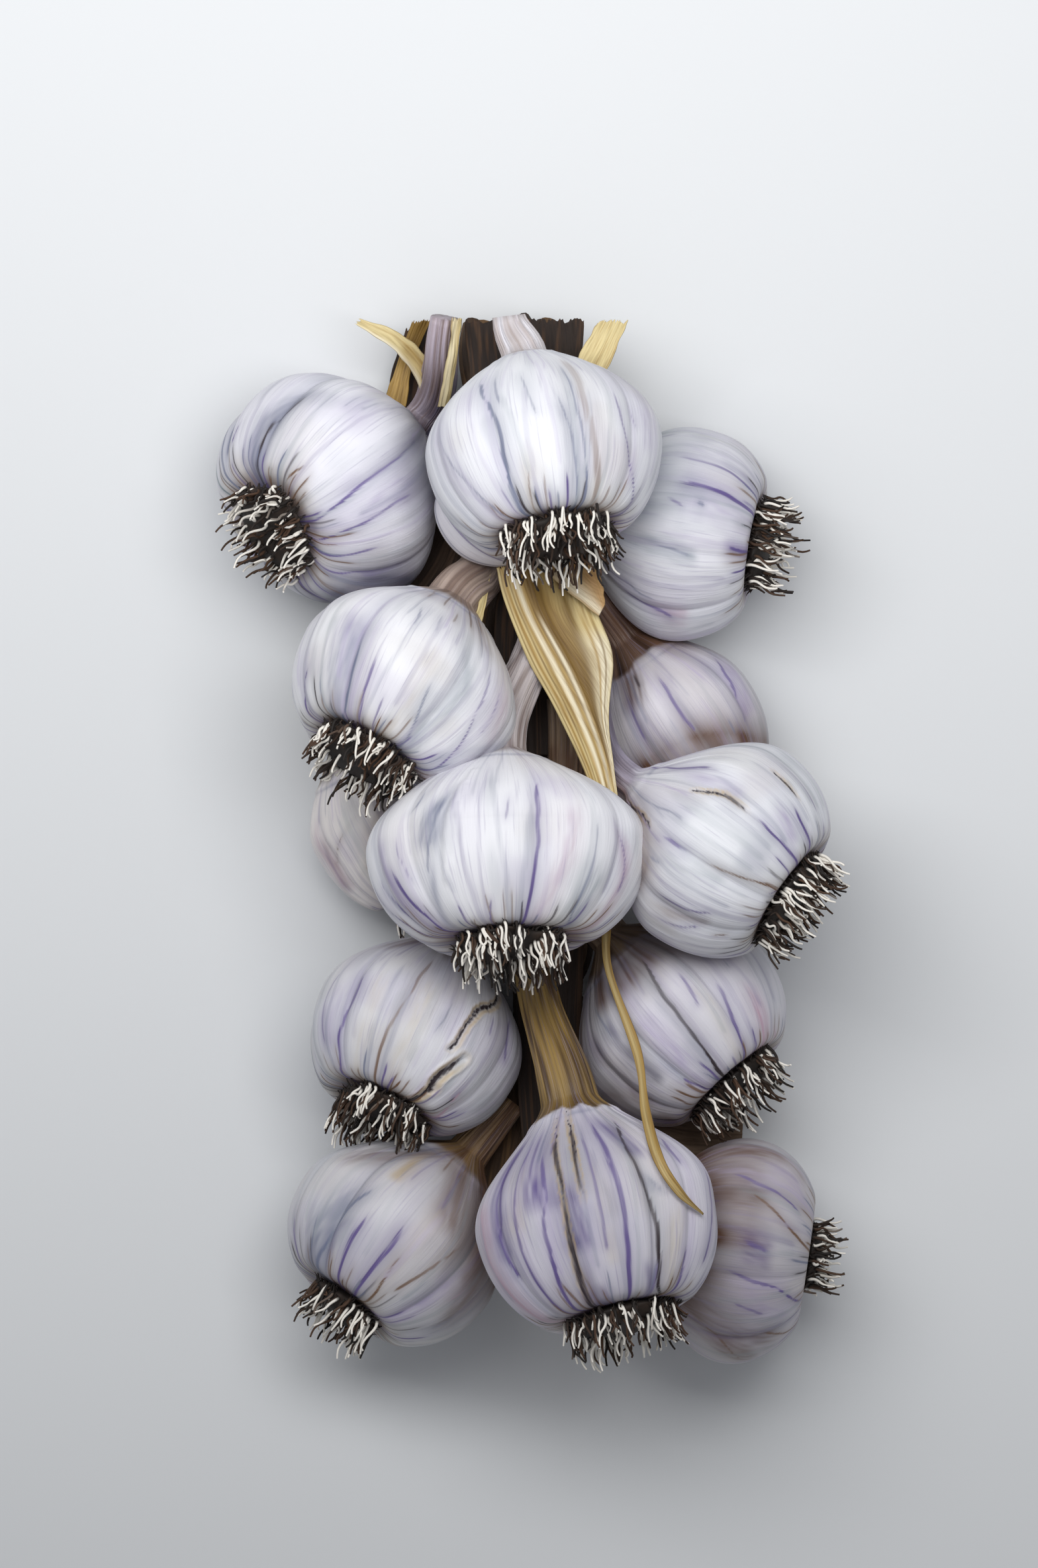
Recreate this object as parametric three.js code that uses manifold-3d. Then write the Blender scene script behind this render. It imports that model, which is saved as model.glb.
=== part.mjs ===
// A garlic braid: thirteen dried heads, their stalks gathered into a plait behind them.
// It lies on its back. Millimetres, +Z up: +Y runs up the braid, +X to its right, and
// the side that faces a room when the braid hangs faces +Z. The origin is on the surface
// that it lies on, under the middle of its box.
//
// Every head is a lathed profile, lobed by its cloves, whose axis runs straight through
// the head and then bends with the stalk. The plait's strands are cylinders bent along a
// curve, and leaves are thin boxes bent over a ruled strip. Pieces are made from the
// plait outwards, and each is cut clear of those before it that it presses on.

import * as THREE from "three";
import { mergeVertices } from "three/addons/utils/BufferGeometryUtils.js";
import Module from "manifold-3d";

const wasm = await Module();
wasm.setup();

// ---- Driving sizes ----

const GAP = 0.35; // clearance between pieces that press on each other
const BRAID_TOP = 126; // height at which stalks and leaves are trimmed
const CENTRING = [1.7, 0.4, 0]; // from the tables' places to the part's own frame

const CLOVE_SIDES = 3; // columns of the lathe for each clove
const LOPSIDED = 0.03; // slow swelling round a head, as a share of its radius
const DIMPLE = 2.6; // how far the root plate is set back between the cloves' ends
const ROOT_SIDE_ANGLES = [90, 68, 36]; // where the root side's rings lie, from the widest
const NECK_SIDE_RINGS = [0, 0.46, 0.78]; // the neck side's, as shares of its length
const STALK_STEP = 13; // longest distance between rings on a stalk

const ROOT_LENGTH = 7.4; // trimmed roots
const ROOT_SPREAD = 1.13; // width of a tuft's outline, over its plate's
const ROOT_SIDES = 10;

const STRAND_SIDES = 8;
const STRAND_STEPS = 22;
const PLAIT_TURNS = 2.5; // times that a strand swings from side to side and back
const STRAND_RADIUS = 0.4; // over the half width of its swing, as is the next
const STRAND_RISE = 0.68;
const PLAIT_REST = 0.3; // clearance under the plait

const LEAF_THICKNESS = 0.9;
const LEAF_STEPS = 8;

// The plait's middle line, seen from the front, and the half width of its strands' swing.
const PLAIT = [
  { x: 2.5, y: -60, swing: 6 },
  { x: 3, y: -12, swing: 8 },
  { x: 0, y: 40, swing: 10.4 },
  { x: -5.5, y: BRAID_TOP - 1.5, swing: 10.4 },
];

// One row for each head, the front ones first.
//   at        middle of its widest ring
//   faces     where the roots point: angle in the XY plane from +X, then lift towards +Z
//   radius    at the widest ring, across; deep is the other half width over that
//   low, high from the widest ring to the cloves' root ends, and to the neck
//   slope     over 1 draws the shoulders in towards the neck, near 1 leaves them round
//   phase     where its slow swelling starts, and the raggedness of its roots
//   stalk     where it ends, the direction it runs there, and its radius there
//   furrows   between cloves: the angle round the axis, 90 facing up when the neck is
//             held away, and the depth as a share of the radius
const HEADS = {
  top: {
    at: [0.6, 93.2, 57], faces: [-80, 24], radius: 28.5, deep: 0.95, low: 24, high: 25,
    plate: 12, neck: 5.5, slope: 1.05, phase: 0.3,
    stalk: { to: [-7.5, BRAID_TOP, 43], runs: [97, 0], radius: 3.8 },
    furrows: [
      [36, 0.05], [72, 0.035], [112, 0.05], [150, 0.04],
      [194, 0.07], [238, 0.07], [282, 0.07], [326, 0.07],
    ],
  },
  middle: {
    at: [-7.7, -3.3, 58.5], faces: [-88, 18], radius: 34, deep: 0.82, low: 24.5, high: 25,
    plate: 12.5, neck: 5.5, slope: 1.15, phase: 0.2,
    stalk: { to: [0, 54, 32], runs: [90, -26], radius: 4.3 },
    furrows: [
      [36, 0.045], [77, 0.035], [134, 0.04], [158, 0.06],
      [200, 0.07], [244, 0.07], [288, 0.07], [332, 0.07],
    ],
  },
  bottom: {
    at: [14, -91.8, 57], faces: [-77, 14], radius: 29.5, deep: 0.92, low: 26, high: 30,
    plate: 12, neck: 7, slope: 1.5, phase: 0.1,
    stalk: { to: [-1.5, -31, 33], runs: [99, -16], radius: 4 },
    furrows: [
      [8, 0.05], [40, 0.045], [62, 0.045], [78, 0.03], [106, 0.05],
      [142, 0.05], [184, 0.06], [240, 0.07], [300, 0.07],
    ],
  },
  upper_left: {
    at: [-32.4, 36.6, 52], faces: [-120, 24], radius: 28.4, deep: 0.92, low: 22, high: 25,
    plate: 11.5, neck: 6.8, slope: 1.15, phase: 0.7,
    stalk: { to: [-13, 66, 29], runs: [62, -30], radius: 6.2 },
    furrows: [
      [20, 0.04], [66, 0.05], [124, 0.1], [168, 0.05],
      [216, 0.07], [264, 0.07], [318, 0.07],
    ],
  },
  upper_right: {
    at: [43.6, -2, 53], faces: [-35, 10], radius: 27.8, deep: 0.92, low: 22, high: 26.5,
    plate: 11.5, neck: 4.5, slope: 1.3, phase: 1.4,
    stalk: { to: [11, 38, 27], runs: [118, -30], radius: 2.8 },
    furrows: [
      [16, 0.03], [66, 0.04], [102, 0.06], [136, 0.05],
      [186, 0.07], [240, 0.07], [308, 0.07],
    ],
  },
  top_left: {
    at: [-50, 85.4, 25.6], faces: [-144, 34], radius: 29.7, deep: 0.97, low: 22, high: 28,
    plate: 10.8, neck: 5, slope: 1.15, phase: 1.1,
    stalk: { to: [-22.6, BRAID_TOP, 27], runs: [80, 12], radius: 3.4 },
    furrows: [
      [24, 0.05], [81, 0.05], [145, 0.1], [192, 0.06],
      [240, 0.07], [288, 0.07], [336, 0.07],
    ],
  },
  top_right: {
    at: [35, 74.4, 24.4], faces: [-10, 6], radius: 26.4, deep: 0.98, low: 19.5, high: 26,
    plate: 10.5, neck: 5, slope: 1.1, phase: 2.1,
    stalk: { to: [6.5, 90, 24], runs: [128, 0], radius: 3.5 },
    furrows: [
      [12, 0.05], [64, 0.06], [102, 0.03], [142, 0.05],
      [190, 0.07], [244, 0.07], [308, 0.07],
    ],
  },
  lower_left: {
    at: [-30, -47.6, 24.1], faces: [-114, 20], radius: 26.2, deep: 0.98, low: 22, high: 25,
    plate: 11, neck: 5, slope: 1.1, phase: 0.5,
    stalk: { to: [-5, 4, 24], runs: [80, 0], radius: 3.5 },
    furrows: [
      [34, 0.045], [103, 0.035], [134, 0.06], [180, 0.06],
      [228, 0.07], [276, 0.07], [330, 0.07],
    ],
  },
  lower_right: {
    at: [34, -43.8, 24.7], faces: [-49, 10], radius: 26.7, deep: 0.98, low: 22, high: 26,
    plate: 11, neck: 5, slope: 1.15, phase: 2.9,
    stalk: { to: [7, 34, 27], runs: [95, 0], radius: 5 },
    furrows: [
      [28, 0.04], [66, 0.05], [90, 0.045], [114, 0.04],
      [142, 0.05], [196, 0.07], [252, 0.07], [308, 0.07],
    ],
  },
  bottom_left: {
    at: [-33.8, -97.2, 24.6], faces: [-129, 14], radius: 27, deep: 0.98, low: 22.5, high: 27,
    plate: 8.5, neck: 5, slope: 1.2, phase: 1.9,
    stalk: { to: [-6.5, -64, 17], runs: [52, 0], radius: 3.2 },
    furrows: [
      [26, 0.04], [54, 0.05], [92, 0.045], [131, 0.11],
      [172, 0.05], [220, 0.07], [268, 0.07], [318, 0.07],
    ],
  },
  bottom_right: {
    at: [48.6, -99.4, 26], faces: [-8, 0], radius: 27.6, deep: 0.97, low: 18.5, high: 27,
    plate: 7.5, neck: 5, slope: 1.15, phase: 2.3, roots: 6.2,
    stalk: { to: [13, -66, 17], runs: [118, 0], radius: 3.2 },
    furrows: [
      [10, 0.05], [54, 0.06], [104, 0.045], [146, 0.06],
      [196, 0.07], [250, 0.07], [308, 0.07],
    ],
  },
  left_back: {
    at: [-38, 4, 16.8], faces: [-62, 0], radius: 18, deep: 0.98, low: 21, high: 20,
    plate: 7, neck: 4, slope: 1.2, phase: 1.7,
    stalk: { to: [-15, 31, 13], runs: [40, 0], radius: 2.8 },
    furrows: [
      [10, 0.06], [60, 0.06], [104, 0.05], [150, 0.06],
      [206, 0.07], [258, 0.07], [310, 0.07],
    ],
  },
  right_back: {
    at: [34.5, 26.5, 18.5], faces: [-56, 0], radius: 20.4, deep: 0.95, low: 20, high: 25,
    plate: 8, neck: 6, slope: 1.15, phase: 2.6,
    stalk: { to: [13, 58, 22], runs: [122, 0], radius: 4.5 },
    furrows: [
      [40, 0.07], [82, 0.06], [118, 0.05], [166, 0.07],
      [216, 0.07], [272, 0.07], [338, 0.07],
    ],
  },
};

// A loose outer clove that shows under the top head, beside its roots.
const OUTER_CLOVE = { at: [-14, 76, 42], radius: 9.2, long: 1.4, turned: -44 };

// Leaves: the two edges of each, from its upper end. A middle line, where there is one,
// is the ridge of a fold.
const LEAVES = {
  leaf_folded: {
    left: [
      [-10.6, 66, 42], [-8, 56.5, 44], [-2.5, 42.5, 46],
      [4.3, 30.3, 47], [10.2, 17.8, 50], [15.5, 4.5, 58],
    ],
    ridge: [
      [-3.5, 66, 44], [0.8, 54.2, 47.5], [7.7, 41.5, 49.5],
      [12.6, 30.1, 50.5], [16.4, 18.2, 54], [18.6, 5.4, 60],
    ],
    right: [
      [9, 66, 40], [14.4, 53.4, 44.5], [17.9, 43.4, 46],
      [16.9, 29, 48], [17.6, 18.2, 53], [19.4, 6, 59],
    ],
  },
  leaf_flap: {
    left: [[2.2, 66.4, 44], [3.4, 62.6, 46.4], [14.4, 53.4, 47.6]],
    right: [[12, 67, 44], [15, 62.6, 46.4], [16, 56.4, 48]],
  },
  leaf_tendril: {
    left: [
      [15.2, -20, 38], [15.8, -32, 42.6], [22.6, -52, 53], [24.6, -66, 66],
      [27.6, -77.4, 79], [33, -85.6, 79.5], [39.2, -90.4, 74],
    ],
    right: [
      [17.4, -20, 38], [18, -32, 42.6], [24.8, -51.4, 53], [26.8, -66, 66],
      [29.8, -76.4, 79], [34.4, -84, 79.5], [39.6, -90, 74],
    ],
  },
  leaf_top_curled: {
    left: [[-45, 124.6, 24], [-36.4, 119.2, 22], [-31, 113.4, 17], [-28, 107, 12]],
    right: [[-43.6, 126, 24], [-34, 122.6, 22], [-27.6, 117, 17], [-23.6, 110.4, 12]],
  },
  leaf_top_inner: {
    left: [[-30.6, BRAID_TOP, 13], [-34.2, 116, 10], [-37.4, 107, 9]],
    right: [[-26, BRAID_TOP, 13], [-30.4, 116, 10], [-32.2, 104.6, 9]],
  },
  leaf_top_right: {
    left: [[14.6, BRAID_TOP - 0.6, 36], [9.2, 115.6, 33], [3.4, 103, 27]],
    right: [[21.8, BRAID_TOP - 0.6, 36], [16.2, 112.6, 33], [9.6, 99.6, 27]],
  },
  leaf_top_stalk: {
    left: [[-21, BRAID_TOP, 31.5], [-22.4, 115, 26.5], [-24.6, 104.6, 20.5]],
    right: [[-18.6, BRAID_TOP, 30], [-20, 115, 25], [-21.8, 104.6, 19]],
  },
  leaf_upper_left: {
    left: [[-13.4, 65, 38.5], [-14.6, 57, 44.5], [-16.4, 50, 48]],
    right: [[-11.6, 64.4, 37.5], [-12.8, 56.4, 43.5], [-14.8, 49.6, 47]],
  },
  leaf_inner_top: {
    left: [[-18, BRAID_TOP, 24], [-17, 115, 24], [-15, 100, 25]],
    right: [[11, BRAID_TOP, 25], [10, 115, 25], [7, 100, 25]],
  },
  leaf_inner_upper: {
    left: [[-9.5, 64, 27], [-11, 44, 27], [-9, 20, 26]],
    right: [[3.6, 64, 27], [3.4, 44, 27], [3, 20, 26]],
  },
  leaf_inner_lower: {
    left: [[-6, -26, 21], [-6, -48, 19], [-4, -74, 20]],
    right: [[11, -26, 21], [10, -48, 19], [8, -74, 20]],
  },
  leaf_inner_stalks: {
    left: [[-32, BRAID_TOP - 1.5, 5], [-36, 112, 5], [-38, 99, 5]],
    right: [[-21.6, BRAID_TOP - 0.5, 6], [-23, 112, 6], [-24, 99, 6]],
  },
  leaf_inner_left: {
    left: [[-26, 82, 12], [-35, 67, 11], [-47, 53, 10]],
    right: [[-13, 77, 13], [-19, 59, 12], [-39, 44, 10]],
  },
  leaf_inner_bottom: {
    left: [[-12, -52, 12], [-17, -67, 11], [-23, -92, 10]],
    right: [[-5, -54, 12], [-3.4, -68, 11], [-5, -94, 10]],
  },
  leaf_inner_right: {
    left: [[24, -78, 15], [36, -81, 14], [49, -81, 12]],
    right: [[25, -60, 15], [36, -62, 14], [50, -63, 12]],
  },
};

// ---- Small helpers ----

const UP = new THREE.Vector3(0, 0, 1);
const vec = (p) => new THREE.Vector3(...p);

/** Unit vector at an angle in the XY plane from +X, lifted towards +Z, both in degrees. */
function direction([angle, lift]) {
  const a = THREE.MathUtils.degToRad(angle);
  const b = THREE.MathUtils.degToRad(lift);
  return new THREE.Vector3(Math.cos(a) * Math.cos(b), Math.sin(a) * Math.cos(b), Math.sin(b));
}

/** Moves every vertex of a geometry to where place(x, y, z) says. */
function reshape(geometry, place) {
  const at = geometry.getAttribute("position");
  for (let i = 0; i < at.count; i++) {
    const p = place(at.getX(i), at.getY(i), at.getZ(i));
    at.setXYZ(i, p.x, p.y, p.z);
  }
  return geometry;
}

/** Lays a section, given across and deep, square to a curve that runs along the floor. */
function square(centre, tangent, across, deep) {
  const side = new THREE.Vector3().crossVectors(tangent, UP).normalize();
  const over = new THREE.Vector3().crossVectors(side, tangent);
  return centre.clone().addScaledVector(side, across).addScaledVector(over, deep);
}

/** A closed geometry as a manifold solid. */
function solidOf(geometry) {
  const bare = new THREE.BufferGeometry();
  bare.setAttribute("position", geometry.getAttribute("position"));
  bare.setIndex(geometry.index);
  const merged = mergeVertices(bare, 1e-3);
  return new wasm.Manifold(new wasm.Mesh({
    numProp: 3,
    vertProperties: merged.attributes.position.array,
    triVerts: new Uint32Array(merged.index.array),
  }));
}

/** A manifold solid as a geometry. */
function geometryOf(solid) {
  const mesh = solid.getMesh();
  const geometry = new THREE.BufferGeometry();
  geometry.setAttribute("position", new THREE.BufferAttribute(mesh.vertProperties, 3));
  geometry.setIndex(new THREE.BufferAttribute(mesh.triVerts, 1));
  return geometry;
}

// ---- Heads and their roots ----

/** The head's axis: straight through the head, then bending along its stalk. */
function spineOf(head) {
  const axis = direction(head.faces).negate();
  const middle = vec(head.at);
  const shoulder = middle.clone().addScaledVector(axis, head.high);
  const end = vec(head.stalk.to);
  const reach = shoulder.distanceTo(end) * 0.4;
  const stalk = new THREE.CubicBezierCurve3(
    shoulder,
    shoulder.clone().addScaledVector(axis, reach),
    end.clone().addScaledVector(direction(head.stalk.runs), -reach),
    end,
  );
  return { axis, middle, stalk, length: stalk.getLength() };
}

/** The head's profile from its stalk's end to its root plate, as points [radius, along]. */
function profileOf(head, stalkLength) {
  const profile = [];
  const stalkRings = Math.max(1, Math.ceil(stalkLength / STALK_STEP));
  for (let i = stalkRings; i > 0; i--) {
    const share = i / stalkRings;
    const radius = THREE.MathUtils.lerp(head.neck, head.stalk.radius, share);
    profile.push([radius, head.high + share * stalkLength]);
  }
  profile.push([head.neck, head.high]);
  for (const share of NECK_SIDE_RINGS.toReversed()) {
    const swelling = (1 - share ** 2) ** head.slope;
    profile.push([THREE.MathUtils.lerp(head.neck, head.radius, swelling), share * head.high]);
  }
  for (const angle of ROOT_SIDE_ANGLES.toReversed()) {
    const turn = THREE.MathUtils.degToRad(angle);
    const radius = THREE.MathUtils.lerp(head.plate * 0.85, head.radius, Math.cos(turn));
    const dimple = DIMPLE * THREE.MathUtils.smoothstep(angle, 60, 90);
    profile.push([radius, dimple - head.low * Math.sin(turn)]);
  }
  return profile;
}

/** The angle of one of the lathe's columns, and the furrow's depth there. */
function sideOf(furrows, column) {
  const clove = Math.floor(column / CLOVE_SIDES);
  const share = (column % CLOVE_SIDES) / CLOVE_SIDES;
  const [from, depth] = furrows[clove];
  const to = clove + 1 < furrows.length ? furrows[clove + 1][0] : furrows[0][0] + 360;
  const angle = THREE.MathUtils.degToRad(THREE.MathUtils.lerp(from, to, share));
  return { angle, furrow: share === 0 ? depth : 0 };
}

/** A head with its stalk, or one grown by swell all round to cut its neighbours with. */
function headGeometry(head, swell) {
  const spine = spineOf(head);
  const rings = profileOf(head, spine.length);
  const [last, first] = [rings[0][1] + swell, rings.at(-1)[1] - swell];
  const profile = rings.map(([r, y]) => new THREE.Vector2(r + swell, y));
  profile[0].y = last;
  profile.at(-1).y = first;
  profile.unshift(new THREE.Vector2(0, last));
  profile.push(new THREE.Vector2(0, first));

  const sides = head.furrows.length * CLOVE_SIDES;
  return reshape(new THREE.LatheGeometry(profile, sides), (x, y, z) => {
    const column = (Math.round((Math.atan2(x, z) / (2 * Math.PI)) * sides) + sides) % sides;
    const { angle, furrow } = sideOf(head.furrows, column);
    const onHead = THREE.MathUtils.clamp(1 - Math.max(0, y) / head.high, 0, 1);
    const swelling = LOPSIDED * Math.sin(3 * angle + 2 * head.phase);
    const r = Math.hypot(x, z) * (1 + onHead * (swelling - furrow));
    const deep = THREE.MathUtils.lerp(1, head.deep, onHead);
    const along = THREE.MathUtils.clamp((y - head.high) / spine.length, 0, 1);
    const tangent = along > 0 ? spine.stalk.getTangentAt(along) : spine.axis;
    const centre = along > 0 ? spine.stalk.getPointAt(along) : spine.middle.clone();
    centre.addScaledVector(tangent, along > 0 ? y - head.high - along * spine.length : y);
    const point = square(centre, tangent, r * Math.cos(angle), r * Math.sin(angle) * deep);
    point.z = Math.max(point.z, -swell);
    return point;
  });
}

/** The outline of the trimmed roots on a head's plate. */
function rootsGeometry(head, swell) {
  const axis = direction(head.faces);
  const foot = vec(head.at).addScaledVector(axis, head.low - DIMPLE + GAP);
  const length = head.roots ?? ROOT_LENGTH;
  const wide = head.plate * ROOT_SPREAD;
  const profile = [
    new THREE.Vector2(0, -swell),
    new THREE.Vector2(head.plate * 0.72 + swell, -swell),
    new THREE.Vector2(wide + swell, DIMPLE + length * 0.45),
    new THREE.Vector2(wide * 0.78 + swell, length + DIMPLE + swell),
    new THREE.Vector2(0, length * 0.8 + DIMPLE + swell),
  ];
  return reshape(new THREE.LatheGeometry(profile, ROOT_SIDES), (x, y, z) => {
    const turn = Math.atan2(x, z);
    const outwards = Math.hypot(x, z) / wide;
    const ragged = 1 + (y / length) * 0.1 * Math.sin(5 * turn + 7 * head.phase);
    const along = y * (1 + 0.12 * outwards * Math.sin(3 * turn + 11 * head.phase));
    const centre = foot.clone().addScaledVector(axis, along);
    return square(centre, axis, x * ragged, z * ragged);
  });
}

/** The outer clove: an egg with a drawn-in root end. */
function cloveGeometry({ at, radius, long, turned }, swell) {
  const axis = direction([turned, 0]);
  return reshape(new THREE.SphereGeometry(radius + swell, 12, 7), (x, y, z) => {
    const pointed = 1 - 0.25 * Math.max(0, y / radius) ** 2;
    return square(vec(at).addScaledVector(axis, y * long), axis, x * pointed, z * pointed);
  });
}

// ---- Plait and leaves ----

/** One of the plait's three strands, which swing in turn over the middle and under it. */
function strandGeometry(strand, swell) {
  const guide = new THREE.CatmullRomCurve3(PLAIT.map((p) => vec([p.x, p.y, p.swing])));
  const stops = [];
  for (let i = 0; i <= STRAND_STEPS; i++) {
    const share = i / STRAND_STEPS;
    const { x, y, z: swing } = guide.getPoint(share);
    const turn = 2 * Math.PI * (PLAIT_TURNS * share + strand / 3);
    const middle = PLAIT_REST + swing * (STRAND_RISE + STRAND_RADIUS);
    const rise = swing * STRAND_RISE * Math.sin(2 * turn);
    stops.push(vec([x + swing * Math.sin(turn), y, middle + rise]));
  }
  const route = new THREE.CatmullRomCurve3(stops);
  const bar = new THREE.CylinderGeometry(1, 1, 1, STRAND_SIDES, STRAND_STEPS);
  return reshape(bar, (x, y, z) => {
    const share = y + 0.5;
    const radius = guide.getPoint(share).z * STRAND_RADIUS + swell;
    return square(route.getPoint(share), route.getTangent(share), x * radius, z * radius);
  });
}

/** A leaf: a thin box whose two faces follow the strip between its edges. */
function leafGeometry({ left, ridge, right }, swell) {
  const rails = [left, ridge, right].filter(Boolean)
    .map((rail) => new THREE.CatmullRomCurve3(rail.map(vec)));
  const across = rails.length - 1;
  const box = new THREE.BoxGeometry(1, 1, 1, across, LEAF_STEPS, 1);
  return reshape(box, (x, y, z) => {
    const share = 0.5 - y;
    const column = Math.round((x + 0.5) * across);
    const point = rails[column].getPoint(share);
    const tangent = rails[column].getTangent(share);
    const width = rails[across].getPoint(share).sub(rails[0].getPoint(share)).normalize();
    const face = width.clone().cross(tangent).normalize();
    if (face.z < 0) face.negate();
    return point.addScaledVector(face, z * (LEAF_THICKNESS + 2 * swell))
      .addScaledVector(width, 2 * x * swell)
      .addScaledVector(tangent, -2 * y * swell);
  });
}

// ---- Assembly ----

const WHITE_SKIN = 0xe4e1e6;
const VIOLET_SKIN = 0xa9a2ba;
const ROOT_BROWN = 0x6a5442;
const STALK_BROWN = 0x5a4026;
const STRAW = 0xcbb88e;
const dried = (color) => new THREE.MeshStandardMaterial({ color, roughness: 0.7 });

const pieces = [];
for (let i = 0; i < 3; i++) {
  pieces.push([`plait_strand_${i + 1}`, (swell) => strandGeometry(i, swell), STALK_BROWN]);
}
for (const [name, head] of Object.entries(HEADS)) {
  const color = name === "bottom" ? VIOLET_SKIN : WHITE_SKIN;
  pieces.push([`head_${name}`, (swell) => headGeometry(head, swell), color]);
}
pieces.push(["clove_top", (swell) => cloveGeometry(OUTER_CLOVE, swell), WHITE_SKIN]);
for (const [name, head] of Object.entries(HEADS)) {
  pieces.push([`roots_${name}`, (swell) => rootsGeometry(head, swell), ROOT_BROWN]);
}
for (const [name, leaf] of Object.entries(LEAVES)) {
  const color = name.startsWith("leaf_inner") ? STALK_BROWN : STRAW;
  pieces.push([name, (swell) => leafGeometry(leaf, swell), color]);
}

/** Cuts a piece clear of the grown outline of each one before it, keeping the main part. */
function fitted(solid, cutters) {
  let kept = solid;
  for (const cutter of cutters) {
    if (!kept.intersect(cutter).isEmpty()) kept = kept.subtract(cutter);
  }
  return kept === solid ? solid
    : kept.decompose().reduce((a, b) => (b.volume() > a.volume() ? b : a));
}

const braid = new THREE.Group();
braid.position.set(...CENTRING);
const placed = [];
for (const [name, shape, color] of pieces) {
  const mesh = new THREE.Mesh(geometryOf(fitted(solidOf(shape(0)), placed)), dried(color));
  mesh.name = name;
  braid.add(mesh);
  placed.push(solidOf(shape(GAP)));
}

export default braid;
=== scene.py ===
# %% [markdown]
# # A braid of dried garlic
# Thirteen dried heads are held by a plait of their own stalks. The braid lies on its back
# on a pale table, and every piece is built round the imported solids, in the same places.
# Sizes are written in millimetres, as a maker would measure them, and become Blender's
# metres only where a mesh is made.

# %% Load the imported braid
import math
import bpy
import numpy as np
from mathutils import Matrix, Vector


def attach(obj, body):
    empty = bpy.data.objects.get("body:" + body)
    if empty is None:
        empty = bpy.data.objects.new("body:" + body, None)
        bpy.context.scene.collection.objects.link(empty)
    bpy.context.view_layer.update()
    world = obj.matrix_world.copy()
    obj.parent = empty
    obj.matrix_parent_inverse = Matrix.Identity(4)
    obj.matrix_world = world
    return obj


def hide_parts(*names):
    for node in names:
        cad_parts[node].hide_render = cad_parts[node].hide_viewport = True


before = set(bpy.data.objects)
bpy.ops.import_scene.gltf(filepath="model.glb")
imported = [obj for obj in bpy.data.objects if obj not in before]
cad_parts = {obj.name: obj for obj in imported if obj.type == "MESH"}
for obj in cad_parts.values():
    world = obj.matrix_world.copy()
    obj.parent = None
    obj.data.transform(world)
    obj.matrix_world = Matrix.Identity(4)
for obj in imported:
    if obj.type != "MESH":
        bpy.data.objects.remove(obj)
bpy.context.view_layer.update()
print("packed solids:", len(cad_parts))

# %% [markdown]
# ## Table, daylight and camera
# A wide pale table carries the braid. One large soft lamp hangs over its upper end and is
# turned away from the lower end, so the light falls off gently down the braid while its
# shadows stay short. A dim even sky fills them.
# The camera looks straight down through a long lens, which keeps sizes true.

# %% Tools for colours and plain finishes
MM = 0.001


def srgb(red, green, blue):
    """A colour read on a screen, 0 to 255, as the share of light that it reflects."""
    c = np.array([red, green, blue]) / 255
    return np.where(c <= 0.04045, c / 12.92, ((c + 0.055) / 1.055) ** 2.4)


def plain_finish(name, colour, roughness):
    """A material with one colour."""
    material = bpy.data.materials.new(name)
    material.use_nodes = True
    shader = material.node_tree.nodes["Principled BSDF"]
    shader.inputs["Base Color"].default_value = (*colour, 1)
    shader.inputs["Roughness"].default_value = roughness
    return material


print("white on a screen reflects:", srgb(255, 255, 255))

# %% Table
TABLE_WIDTH = 6000 * MM
TABLE_UNDER = 0.05 * MM  # a hair below the braid, so that the two don't flicker
bpy.ops.mesh.primitive_plane_add(size=TABLE_WIDTH, location=(0, 0, -TABLE_UNDER))
table = bpy.context.object
table.name = "table"
table.data.materials.append(plain_finish("pale table", srgb(216, 218, 220), 0.9))
print("table:", TABLE_WIDTH, "m wide")

# %% Lamp and sky
LAMP_AT = (-0.1, 0.3, 0.72)  # in metres, as are the next two
LAMP_AIMS_AT = (0, 0.7, 0)  # past the braid's upper end
LAMP_SIZE = (0.9, 0.5)
LAMP_WATTS = 8.2
SKY_COLOUR, SKY_STRENGTH = srgb(244, 246, 250), 0.30

lamp_light = bpy.data.lights.new("soft lamp", "AREA")
lamp_light.shape = "RECTANGLE"
lamp_light.size, lamp_light.size_y = LAMP_SIZE
lamp_light.energy = LAMP_WATTS
lamp = bpy.data.objects.new("soft lamp", lamp_light)
lamp.location = LAMP_AT
lamp.rotation_euler = (Vector(LAMP_AIMS_AT) - lamp.location).to_track_quat("-Z", "Y").to_euler()
bpy.context.scene.collection.objects.link(lamp)

sky = bpy.data.worlds.new("even sky")
sky.use_nodes = True
background = sky.node_tree.nodes["Background"]
background.inputs["Color"].default_value = (*SKY_COLOUR, 1)
background.inputs["Strength"].default_value = SKY_STRENGTH
bpy.context.scene.world = sky
bpy.context.scene.view_settings.view_transform = "Standard"
print("lamp:", LAMP_WATTS, "W at", LAMP_AT[2], "m")

# %% Camera
CAMERA_OVER = (-3.1 * MM, 13.4 * MM)  # the point of the braid under the lens
CAMERA_HEIGHT = 5.0
FIELD_LENGTH = 378.9 * MM  # what the camera sees along the braid, halfway up its depth
HALFWAY_UP = 40 * MM
SENSOR = 36  # in mm, as the lens is
SEES_TO = 50  # in metres

camera_data = bpy.data.cameras.new("camera")
camera_data.sensor_width = SENSOR
camera_data.lens = SENSOR * (CAMERA_HEIGHT - HALFWAY_UP) / FIELD_LENGTH
camera_data.clip_end = SEES_TO
camera = bpy.data.objects.new("camera", camera_data)
camera.location = (*CAMERA_OVER, CAMERA_HEIGHT)
bpy.context.scene.collection.objects.link(camera)
bpy.context.scene.camera = camera
print("lens:", round(camera_data.lens), "mm")

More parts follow.
